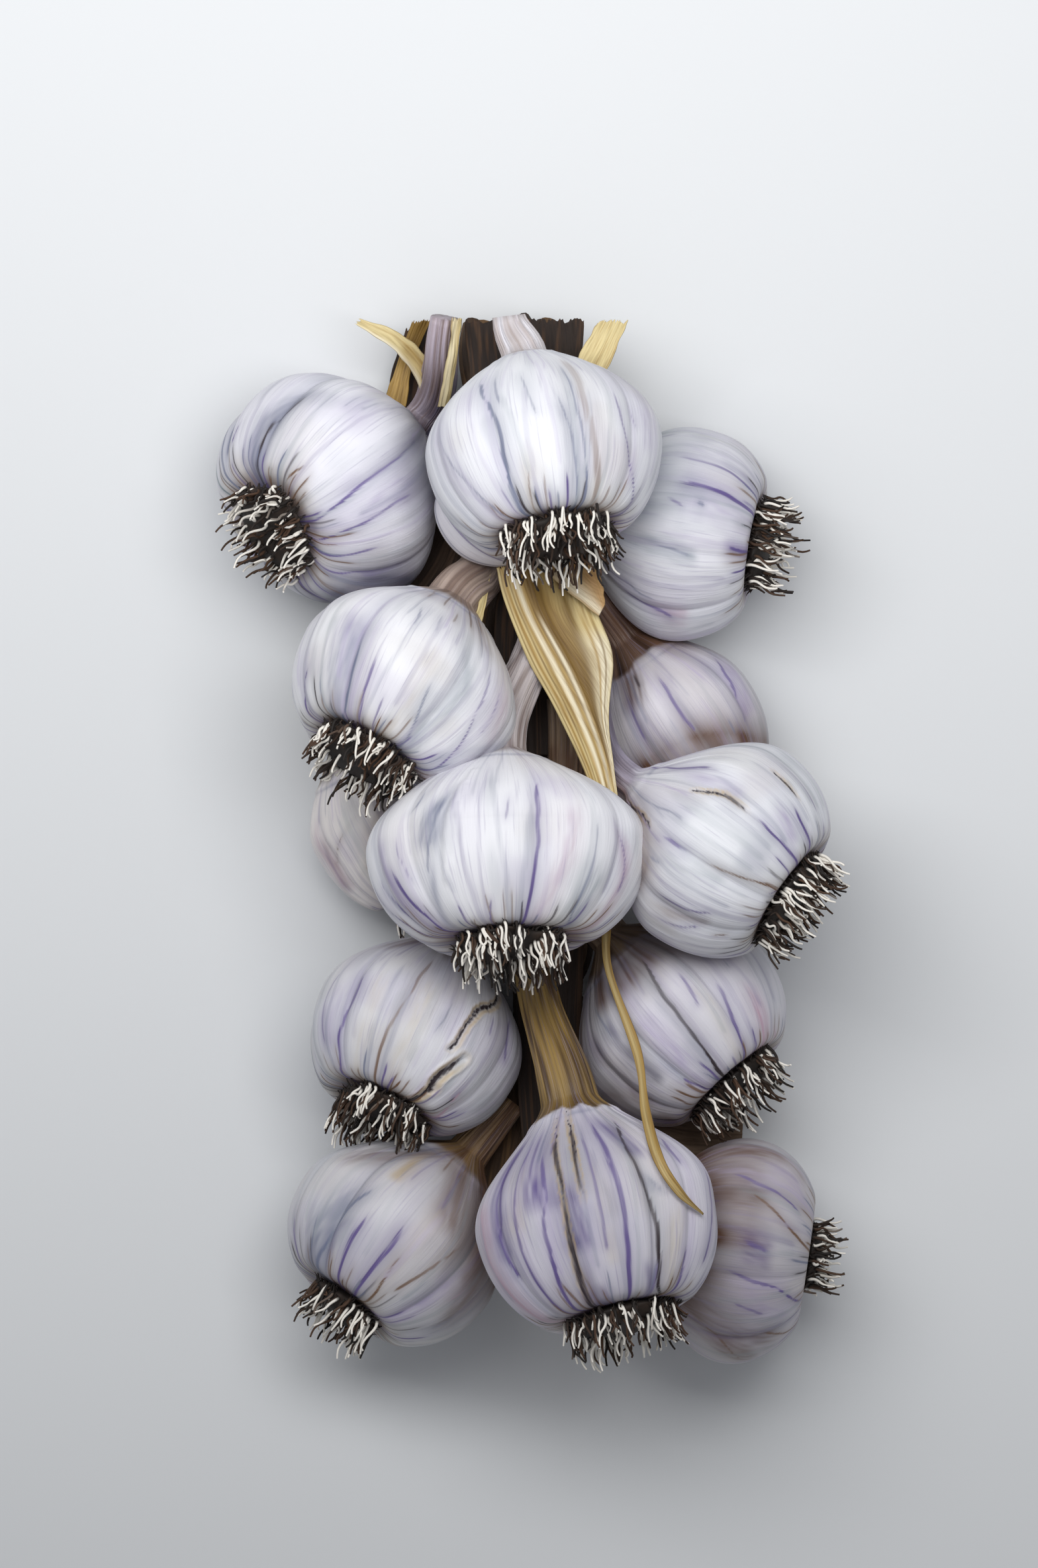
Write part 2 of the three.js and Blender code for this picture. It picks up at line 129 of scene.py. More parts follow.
# %% [markdown]
# ## Sizes that the solids share
# A head is a lathed shape. Its axis runs straight from the roots through the neck and
# then bends away as the stalk. The numbers below are those of the solids, so each finished
# head lies in its own solid's place:
# - at, faces: the middle of the widest ring, and where the roots point (an angle from +X,
#   then the lift off the table)
# - radius, deep: half width across, and the other half width as a share of it
# - low, high: from the widest ring to the cloves' root ends, and to the neck
# - plate, neck: radii at the roots and at the neck; slope draws the shoulders in
# - stalk: where it ends, where it runs there, and its radius there
# - furrows: between cloves, as an angle round the axis and a depth, a share of the radius

# %% Sizes of the heads
CENTRING = np.array([1.7, 0.4, 0.0])  # from the table of heads to the middle of the braid
BRAID_TOP = 126.0
DIMPLE = 2.6  # how far the root plate is set back between the cloves' ends
LOPSIDED = 0.03
GAP = 0.35

HEADS = {
    "top": dict(
        at=(0.6, 93.2, 57), faces=(-80, 24), radius=28.5, deep=0.95, low=24, high=25,
        plate=12, neck=5.5, slope=1.05, phase=0.3,
        stalk=((-7.5, BRAID_TOP, 43), (97, 0), 3.8),
        furrows=[(36, 0.05), (72, 0.035), (112, 0.05), (150, 0.04),
                 (194, 0.07), (238, 0.07), (282, 0.07), (326, 0.07)],
    ),
    "middle": dict(
        at=(-7.7, -3.3, 58.5), faces=(-88, 18), radius=34, deep=0.82, low=24.5, high=25,
        plate=12.5, neck=5.5, slope=1.15, phase=0.2,
        stalk=((0, 54, 32), (90, -26), 4.3),
        furrows=[(36, 0.045), (77, 0.035), (134, 0.04), (158, 0.06),
                 (200, 0.07), (244, 0.07), (288, 0.07), (332, 0.07)],
    ),
    "bottom": dict(
        at=(14, -91.8, 57), faces=(-77, 14), radius=29.5, deep=0.92, low=26, high=30,
        plate=12, neck=7, slope=1.5, phase=0.1,
        stalk=((-1.5, -31, 33), (99, -16), 4),
        furrows=[(8, 0.05), (40, 0.045), (62, 0.045), (78, 0.03), (106, 0.05),
                 (142, 0.05), (184, 0.06), (240, 0.07), (300, 0.07)],
    ),
    "upper_left": dict(
        at=(-32.4, 36.6, 52), faces=(-120, 24), radius=28.4, deep=0.92, low=22, high=25,
        plate=11.5, neck=6.8, slope=1.15, phase=0.7,
        stalk=((-13, 66, 29), (62, -30), 6.2),
        furrows=[(20, 0.04), (66, 0.05), (124, 0.1), (168, 0.05),
                 (216, 0.07), (264, 0.07), (318, 0.07)],
    ),
    "upper_right": dict(
        at=(43.6, -2, 53), faces=(-35, 10), radius=27.8, deep=0.92, low=22, high=26.5,
        plate=11.5, neck=4.5, slope=1.3, phase=1.4,
        stalk=((11, 38, 27), (118, -30), 2.8),
        furrows=[(16, 0.03), (66, 0.04), (102, 0.06), (136, 0.05),
                 (186, 0.07), (240, 0.07), (308, 0.07)],
    ),
    "top_left": dict(
        at=(-50, 85.4, 25.6), faces=(-144, 34), radius=29.7, deep=0.97, low=22, high=28,
        plate=10.8, neck=5, slope=1.15, phase=1.1,
        stalk=((-22.6, BRAID_TOP, 27), (80, 12), 3.4),
        furrows=[(24, 0.05), (81, 0.05), (145, 0.1), (192, 0.06),
                 (240, 0.07), (288, 0.07), (336, 0.07)],
    ),
    "top_right": dict(
        at=(35, 74.4, 24.4), faces=(-10, 6), radius=26.4, deep=0.98, low=19.5, high=26,
        plate=10.5, neck=5, slope=1.1, phase=2.1,
        stalk=((6.5, 90, 24), (128, 0), 3.5),
        furrows=[(12, 0.05), (64, 0.06), (102, 0.03), (142, 0.05),
                 (190, 0.07), (244, 0.07), (308, 0.07)],
    ),
    "lower_left": dict(
        at=(-30, -47.6, 24.1), faces=(-114, 20), radius=26.2, deep=0.98, low=22, high=25,
        plate=11, neck=5, slope=1.1, phase=0.5,
        stalk=((-5, 4, 24), (80, 0), 3.5),
        furrows=[(34, 0.045), (103, 0.035), (134, 0.06), (180, 0.06),
                 (228, 0.07), (276, 0.07), (330, 0.07)],
    ),
    "lower_right": dict(
        at=(34, -43.8, 24.7), faces=(-49, 10), radius=26.7, deep=0.98, low=22, high=26,
        plate=11, neck=5, slope=1.15, phase=2.9,
        stalk=((7, 34, 27), (95, 0), 5),
        furrows=[(28, 0.04), (66, 0.05), (90, 0.045), (114, 0.04),
                 (142, 0.05), (196, 0.07), (252, 0.07), (308, 0.07)],
    ),
    "bottom_left": dict(
        at=(-33.8, -97.2, 24.6), faces=(-129, 14), radius=27, deep=0.98, low=22.5, high=27,
        plate=8.5, neck=5, slope=1.2, phase=1.9,
        stalk=((-6.5, -64, 17), (52, 0), 3.2),
        furrows=[(26, 0.04), (54, 0.05), (92, 0.045), (131, 0.11),
                 (172, 0.05), (220, 0.07), (268, 0.07), (318, 0.07)],
    ),
    "bottom_right": dict(
        at=(48.6, -99.4, 26), faces=(-8, 0), radius=27.6, deep=0.97, low=18.5, high=27,
        plate=7.5, neck=5, slope=1.15, phase=2.3,
        stalk=((13, -66, 17), (118, 0), 3.2),
        furrows=[(10, 0.05), (54, 0.06), (104, 0.045), (146, 0.06),
                 (196, 0.07), (250, 0.07), (308, 0.07)],
    ),
    "left_back": dict(
        at=(-38, 4, 16.8), faces=(-62, 0), radius=18, deep=0.98, low=21, high=20,
        plate=7, neck=4, slope=1.2, phase=1.7,
        stalk=((-15, 31, 13), (40, 0), 2.8),
        furrows=[(10, 0.06), (60, 0.06), (104, 0.05), (150, 0.06),
                 (206, 0.07), (258, 0.07), (310, 0.07)],
    ),
    "right_back": dict(
        at=(34.5, 26.5, 18.5), faces=(-56, 0), radius=20.4, deep=0.95, low=20, high=25,
        plate=8, neck=6, slope=1.15, phase=2.6,
        stalk=((13, 58, 22), (122, 0), 4.5),
        furrows=[(40, 0.07), (82, 0.06), (118, 0.05), (166, 0.07),
                 (216, 0.07), (272, 0.07), (338, 0.07)],
    ),
}
print("heads:", len(HEADS))

# %% [markdown]
# ## Places on a head
# Everything that is drawn on a head, such as a vein, a crack or a root, is placed by two
# numbers: the angle round the axis (90 faces up) and how far along it lies, from -1 at the
# roots through 0 at the widest ring to 1 at the neck. Beyond 1 it is on the stalk.

# %% Directions and the head's axis
UP = np.array([0.0, 0.0, 1.0])
BEND = 0.4  # how softly a stalk bends away from the neck, a share of the way to its end
AXIS_POINTS = 400


def unit(v):
    """Vectors of length one."""
    return v / np.linalg.norm(v, axis=-1, keepdims=True)


def direction(angle, lift):
    """Unit vector at an angle from +X on the table, lifted towards the camera."""
    a, b = math.radians(angle), math.radians(lift)
    return np.array([math.cos(a) * math.cos(b), math.sin(a) * math.cos(b), math.sin(b)])


def smooth(low, high, x):
    """0 below low, 1 above high, and an easy climb between."""
    t = np.clip((x - low) / (high - low), 0, 1)
    return t * t * (3 - 2 * t)


def turned_from(start, angle):
    """Degrees round from one angle to another, from -180 to 180."""
    return (angle - start + 180) % 360 - 180


def square_to(tangent):
    """The two directions of a section that lies square to a line along the table."""
    side = unit(np.cross(tangent, UP))
    return side, np.cross(side, tangent)


def axis_of(head):
    """The head's axis as a stalk curve: its points, its tangents and its length."""
    axis = -direction(*head["faces"])
    end, runs, _ = head["stalk"]
    shoulder = np.array(head["at"]) + axis * head["high"]
    reach = BEND * np.linalg.norm(np.array(end) - shoulder)
    a, b = shoulder, shoulder + axis * reach
    c, d = np.array(end) - direction(*runs) * reach, np.array(end, float)
    t = np.linspace(0, 1, AXIS_POINTS)[:, None]
    points = a * (1 - t) ** 3 + 3 * b * t * (1 - t) ** 2 + 3 * c * t**2 * (1 - t) + d * t**3
    slopes = (b - a) * (1 - t) ** 2 + 2 * (c - b) * t * (1 - t) + (d - c) * t**2
    steps = np.linalg.norm(np.diff(points, axis=0), axis=1)
    return axis, points, unit(slopes), np.concatenate([[0], np.cumsum(steps)])


for head in HEADS.values():
    head["axis"], head["stalk_points"], head["stalk_tangents"], head["stalk_run"] = axis_of(head)
print("stalks:", [round(h["stalk_run"][-1]) for h in HEADS.values()], "mm long")

# %% A point of the skin
DRAWN_IN = 0.85  # the cloves' ends draw in past the root plate, a share of its radius
DIMPLE_FROM = 60  # where the dimple round the roots starts, in degrees from the widest ring


def ring_at(head, along):
    """Radius and distance up the axis of the ring that lies this far along a head."""
    neck, radius, plate = head["neck"], head["radius"], head["plate"] * DRAWN_IN
    shoulder = neck + (radius - neck) * np.clip(1 - along**2, 0, 1) ** head["slope"]
    length = head["stalk_run"][-1]
    up_stalk = np.clip((along - 1) * head["high"] / length, 0, 1)
    stalk = neck + (head["stalk"][2] - neck) * up_stalk
    turn = np.arcsin(np.clip(-along, 0, 1))
    cloves = plate + (radius - plate) * np.cos(turn)
    dimple = DIMPLE * smooth(DIMPLE_FROM, 90, np.degrees(turn))
    upper = np.where(along > 1, stalk, shoulder)
    distance = np.where(along < 0, dimple + head["low"] * along, head["high"] * along)
    return np.where(along < 0, cloves, upper), distance


def section_at(head, distance):
    """Centre, side and over of the section at a distance up the axis."""
    past = np.clip(distance - head["high"], 0, head["stalk_run"][-1])
    on_stalk = (distance > head["high"])[..., None]
    bent = [np.stack([np.interp(past, head["stalk_run"], table[:, k]) for k in range(3)], -1)
            for table in (head["stalk_points"], head["stalk_tangents"])]
    straight = np.array(head["at"]) + head["axis"] * distance[..., None]
    centre = np.where(on_stalk, bent[0], straight)
    side, over = square_to(unit(np.where(on_stalk, bent[1], head["axis"])))
    return centre, side, over


def skin_point(head, angle, along, raised=0.0):
    """The place on a head's skin at an angle in degrees and a share along it."""
    along = np.asarray(along, float)
    radius, distance = ring_at(head, along)
    centre, side, over = section_at(head, distance)
    on_head = np.clip(1 - np.maximum(0, distance) / head["high"], 0, 1)
    turn = np.radians(angle)
    r = radius * (1 + on_head * LOPSIDED * np.sin(3 * turn + 2 * head["phase"])) + raised
    across, up = r * np.cos(turn), r * np.sin(turn) * (1 + (head["deep"] - 1) * on_head)
    return centre + side * across[..., None] + over * up[..., None]


print("top of the middle head:", skin_point(HEADS["middle"], 90, 0.0).round(1))

# %% [markdown]
# ## Colours of dried garlic
# The skin is paper-white. Its veins run from the neck to the roots and dry violet, slate
# or brown. Broad soft washes follow the cloves, because the skin is thinner over them.
# Other washes are painted shade: those in the two shade tones, the broad brown ones on the
# edges of the lower heads that lie under neighbours, the broad slate ones beside the deeper
# furrows, and the tendril's shadow on the bottom head.
# Each head below has its own rows: a tone, a width in mm, a strength, and a line of
# places (angle, share along). Rows of at least WASH_WIDTH are soft washes; narrower ones
# are veins, which the finish later gives ragged edges.

# %% Tones
TONES = {
    "violet": srgb(98, 84, 138),
    "lilac": srgb(176, 164, 196),
    "slate": srgb(112, 118, 142),
    "teal": srgb(142, 152, 158),
    "rose": srgb(186, 160, 176),
    "dark": srgb(46, 36, 42),
    "brown": srgb(112, 84, 62),
    "beige": srgb(204, 196, 184),
    "ochre": srgb(190, 164, 112),
    # Painted shade, in brown and in blue-grey: skin that lies in a higher neighbour's shade.
    "shade": srgb(92, 62, 42),
    "blue_shade": srgb(66, 64, 88),
}
WASH_WIDTH = 3.0
print("tones:", ", ".join(TONES))

# %% Veins and washes of the front heads
VEINS = {
    "top": [
        # painted shade beside a furrow
        ("slate", 5, 0.35, [(80, 0.14), (74, -0.23), (72, -0.59), (69, -0.98)]),
        ("brown", 2.7, 0.45, [(66, 0.8), (64, 0.4), (64, 0), (60, -0.55), (52, -0.99)]),
        ("slate", 0.9, 0.7, [(69, 0.7), (69, 0.3), (68, -0.2), (62, -0.98)]),
        ("lilac", 6, 0.45, [(29, 0.3), (25, -0.05), (22, -0.5)]),
        ("lilac", 7, 0.3, [(150, 0.5), (146, -0.2), (132, -0.93)]),
        ("beige", 3.4, 0.45, [(98, -0.4), (104, -0.91)]),
        ("slate", 1.6, 0.95, [(124, 0.69), (110, -0.08), (112, -0.55), (114, -0.93)]),
        ("slate", 1, 0.45, [(146, 0.44), (142, -0.18), (128, -0.93)]),
        ("slate", 1, 0.6, [(112, 0.69), (106, 0)]),
        ("slate", 0.9, 0.55, [(97, 0.6), (88, -0.2)]),
        ("slate", 1, 0.6, [(80, 0.3), (74, -0.23), (71, -0.59), (68, -0.98)]),
        ("violet", 1, 0.7, [(47, 0.32), (44, -0.19), (34, -0.61), (12, -0.98)]),
        ("violet", 0.9, 0.5, [(39, 0.18), (32, -0.29)]),
        ("brown", 0.8, 0.4, [(90, -0.56), (94, -0.96)]),
        ("brown", 0.8, 0.45, [(98, -0.53), (104, -0.91)]),
        ("brown", 1, 0.5, [(100, 1.1), (104, 0.8)]),
    ],
    "middle": [
        # painted shade on the clove's side beside the raised rib
        ("slate", 6, 0.75, [(112, 0.45), (118, 0.2), (123, -0.03), (126, -0.3)]),
        ("slate", 3, 0.55, [(124, -0.3), (128, -0.6), (134, -0.9)]),
        ("violet", 3.2, 0.4, [(154, 0.1), (150, -0.4), (148, -0.9)]),
        ("rose", 5, 0.45, [(60, 0.3), (62, -0.3), (68, -0.72), (72, -0.98)]),
        ("rose", 3.6, 0.7, [(41, 0.09), (33, -0.16), (28, -0.45), (26, -0.71), (23, -0.94)]),
        ("teal", 5, 0.65, [(44, -0.28), (46, -0.56), (46, -0.84), (36, -0.99)]),
        ("lilac", 5, 0.4, [(152, 0.2), (150, -0.5), (148, -0.95)]),
        ("violet", 1.8, 1, [(148, -0.14), (144, -0.64), (141, -0.85), (144, -0.96)]),
        ("violet", 1.1, 0.75, [(158, -0.17), (162, -0.39), (158, -0.7), (156, -0.96)]),
        ("slate", 1, 0.6, [(132, 0.51), (130, 0.28), (137, 0.08)]),
        ("slate", 1.1, 0.6, [(113, 0.5), (121, -0.03), (125, -0.29), (128, -0.56)]),
        ("violet", 1, 0.6, [(87, 0.34), (91, -0.11)]),
        ("violet", 1.4, 0.95,
         [(70, 0.66), (75, 0.3), (76, 0.05), (76, -0.3), (78, -0.72), (79, -0.98)]),
        ("violet", 1, 0.75, [(166, -0.1), (172, -0.4), (168, -0.7), (162, -0.98)]),
        ("violet", 0.9, 0.65, [(140, 0.1), (139, -0.3), (136, -0.6)]),
        ("violet", 1, 0.6, [(98, -0.66), (104, -0.97)]),
        ("violet", 0.9, 0.55, [(118, -0.71), (120, -0.92)]),
        ("brown", 0.8, 0.45, [(112, -0.86), (116, -0.94)]),
        ("violet", 1, 0.6, [(42, 0.2), (34, -0.16), (29, -0.45), (27, -0.71)]),
        ("slate", 1, 0.55, [(49, 0.2), (50, -0.3), (50, -0.8), (40, -0.99)]),
    ],
    "bottom": [
        ("lilac", 7, 0.55, [(99, 0.3), (101, -0.43), (102, -0.98)]),
        ("violet", 8, 0.85, [(122, 0.85), (119, 0.4), (118, -0.1)]),
        ("violet", 5, 0.75, [(70, 0.85), (66, 0.5), (60, 0.2)]),
        ("violet", 7, 0.85, [(106, 0.3), (102, -0.1), (101, -0.55)]),
        ("violet", 7, 0.75, [(104, -0.74), (102, -0.98)]),
        ("violet", 3.4, 0.6, [(66, -0.6), (62, -0.97)]),
        ("violet", 5, 0.7, [(138, 0.8), (142, 0.4), (144, -0.4)]),
        ("beige", 4, 0.75, [(46, -0.1), (50, -0.49), (49, -0.79), (36, -0.98)]),
        ("beige", 4.6, 0.6, [(130, 0.6), (128, 0.2), (130, -0.2)]),
        ("beige", 4, 0.45, [(86, 0.5), (85, 0), (86, -0.7)]),
        # painted shadow of the tendril that lies over this head
        ("slate", 4, 0.6, [(66, 0.19), (56, -0.05), (46, -0.15)]),
        ("rose", 5, 0.6, [(158, 0.38), (153, 0.05), (156, -0.3), (154, -0.93)]),
        ("violet", 1.8, 1,
         [(140, 0.85), (143, 0.59), (142, 0.38), (139, 0.06), (144, -0.14), (142, -0.59)]),
        ("violet", 1.5, 0.95, [(116, 0.63), (112, 0.16), (116, -0.17), (118, -0.52), (123, -0.91)]),
        ("dark", 1.9, 1, [(110, 0.8), (104, 0.23), (106, -0.4), (110, -0.91)]),
        ("dark", 1.8, 1, [(96, 0.84), (94, 0.46), (94, -0.04)]),
        ("violet", 1.8, 1, [(78, 0.84), (77, 0.45), (76, -0.12), (78, -0.77), (80, -0.98)]),
        ("dark", 1.6, 0.95, [(48, 0.84), (64, 0.45), (65, 0.19), (60, -0.32), (58, -0.83), (46, -0.99)]),
        ("violet", 1.2, 0.75, [(42, -0.45), (38, -0.87)]),
        ("rose", 1.6, 0.8, [(158, 0.38), (154, 0.05), (157, -0.3), (155, -0.93)]),
        ("violet", 1.4, 0.85, [(28, 0.57), (38, 0.34), (37, 0.08)]),
        ("violet", 1.3, 0.8, [(128, 0.75), (128, 0.3), (131, -0.3), (132, -0.9)]),
        ("violet", 1.2, 0.75, [(87, 0.8), (87, 0.2), (88, -0.6)]),
        ("violet", 1.4, 0.8, [(20, 0.3), (22, -0.2), (24, -0.8)]),
    ],
    "upper_left": [
        # painted shade beside the deep furrow
        ("slate", 7, 0.6, [(131, 0.2), (129, -0.4), (131, -0.81), (134, -0.99)]),
        ("teal", 5, 0.5, [(70, 0.43), (62, -0.18), (64, -0.71), (56, -0.96)]),
        ("rose", 7, 0.5, [(42, 0.4), (30, -0.1), (20, -0.5), (14, -0.96)]),
        ("brown", 6, 0.4, [(60, 0.95), (60, 0.6), (56, 0.3)]),
        ("brown", 1, 0.7, [(70, 0.98), (70, 0.7), (72, 0.45)]),
        ("brown", 1, 0.7, [(94, 0.98), (95, 0.7), (93, 0.5)]),
        ("brown", 1, 0.65, [(112, 0.98), (110, 0.75), (106, 0.5)]),
        ("brown", 0.9, 0.65, [(58, 0.98), (60, 0.7), (60, 0.5)]),
        ("beige", 4, 0.45, [(86, 0.2), (84, -0.4), (82, -0.95)]),
        ("violet", 1.4, 0.9, [(150, -0.46), (158, -0.64), (168, -0.79), (174, -0.91)]),
        ("slate", 1, 0.5, [(138, -0.38), (142, -0.75), (138, -0.99)]),
        ("slate", 1.8, 0.95, [(124, 0.2), (122, -0.4), (122, -0.81), (127, -0.99)]),
        ("violet", 1.1, 0.7, [(111, -0.16), (109, -0.6), (109, -0.98)]),
        ("slate", 0.9, 0.6, [(105, 0.59), (99, 0.02)]),
        ("slate", 0.9, 0.6, [(92, 0.59), (89, 0.09)]),
        ("brown", 0.9, 0.6, [(82, 0.72), (84, 0.37)]),
        ("violet", 0.9, 0.55, [(97, -0.55), (96, -0.97)]),
        ("brown", 0.9, 0.55, [(84, -0.74), (86, -0.94)]),
        ("slate", 1.1, 0.6, [(80, -0.05), (76, -0.52), (65, -0.95)]),
        ("violet", 1, 0.7, [(54, 0.46), (50, -0.06), (45, -0.4), (30, -0.96)]),
        ("violet", 1, 0.65, [(45, 0.34), (39, -0.11), (36, -0.44)]),
    ],
    "upper_right": [
        ("brown", 4, 0.45, [(142, 0.24), (138, -0.2), (132, -0.57)]),
        ("lilac", 4.5, 0.6, [(50, -0.3), (53, -0.46), (56, -0.84)]),
        ("teal", 5, 0.35, [(112, 0.4), (108, 0), (104, -0.5)]),
        ("lilac", 4, 0.4, [(60, 0.7), (62, 0.3), (60, -0.1)]),
        ("violet", 1.2, 0.9, [(31, 0.98), (43, 0.82), (53, 0.63), (52, 0.29)]),
        ("dark", 1.2, 0.95, [(72, 0.37), (70, 0.25), (66, 0.07), (66, -0.2)]),
        ("violet", 1.2, 0.9, [(66, -0.15), (66, -0.76), (61, -0.99)]),
        ("dark", 1, 0.9, [(34, -0.18), (34, -0.49)]),
        ("violet", 1.4, 0.9, [(42, -0.4), (44, -0.7), (44, -0.9)]),
        ("violet", 0.9, 0.5, [(22, 0.1), (20, -0.8)]),
        ("slate", 1, 0.65, [(92, 0.94), (95, 0.75), (90, 0.42), (90, 0.16)]),
        ("dark", 1.4, 0.95, [(130, 0.97), (110, 0.73), (106, 0.5)]),
        ("violet", 1.3, 0.85, [(105, 0.5), (103, 0.22), (103, -0.05)]),
        ("brown", 0.9, 0.7, [(102, 0), (100, -0.34), (96, -0.66), (93, -0.89)]),
        ("violet", 0.9, 0.6, [(101, -0.82), (90, -1)]),
        ("slate", 1.1, 0.6, [(121, 0.45), (114, 0.14)]),
        ("violet", 1.1, 0.75, [(136, 0.28), (132, 0.11), (129, -0.27), (123, -0.57)]),
        ("violet", 1.1, 0.7, [(148, 0.24), (146, -0.2), (136, -0.53)]),
        ("brown", 0.9, 0.6, [(144, -0.52), (140, -0.78)]),
    ],
}
print("rows on the front heads:", sum(len(rows) for rows in VEINS.values()))

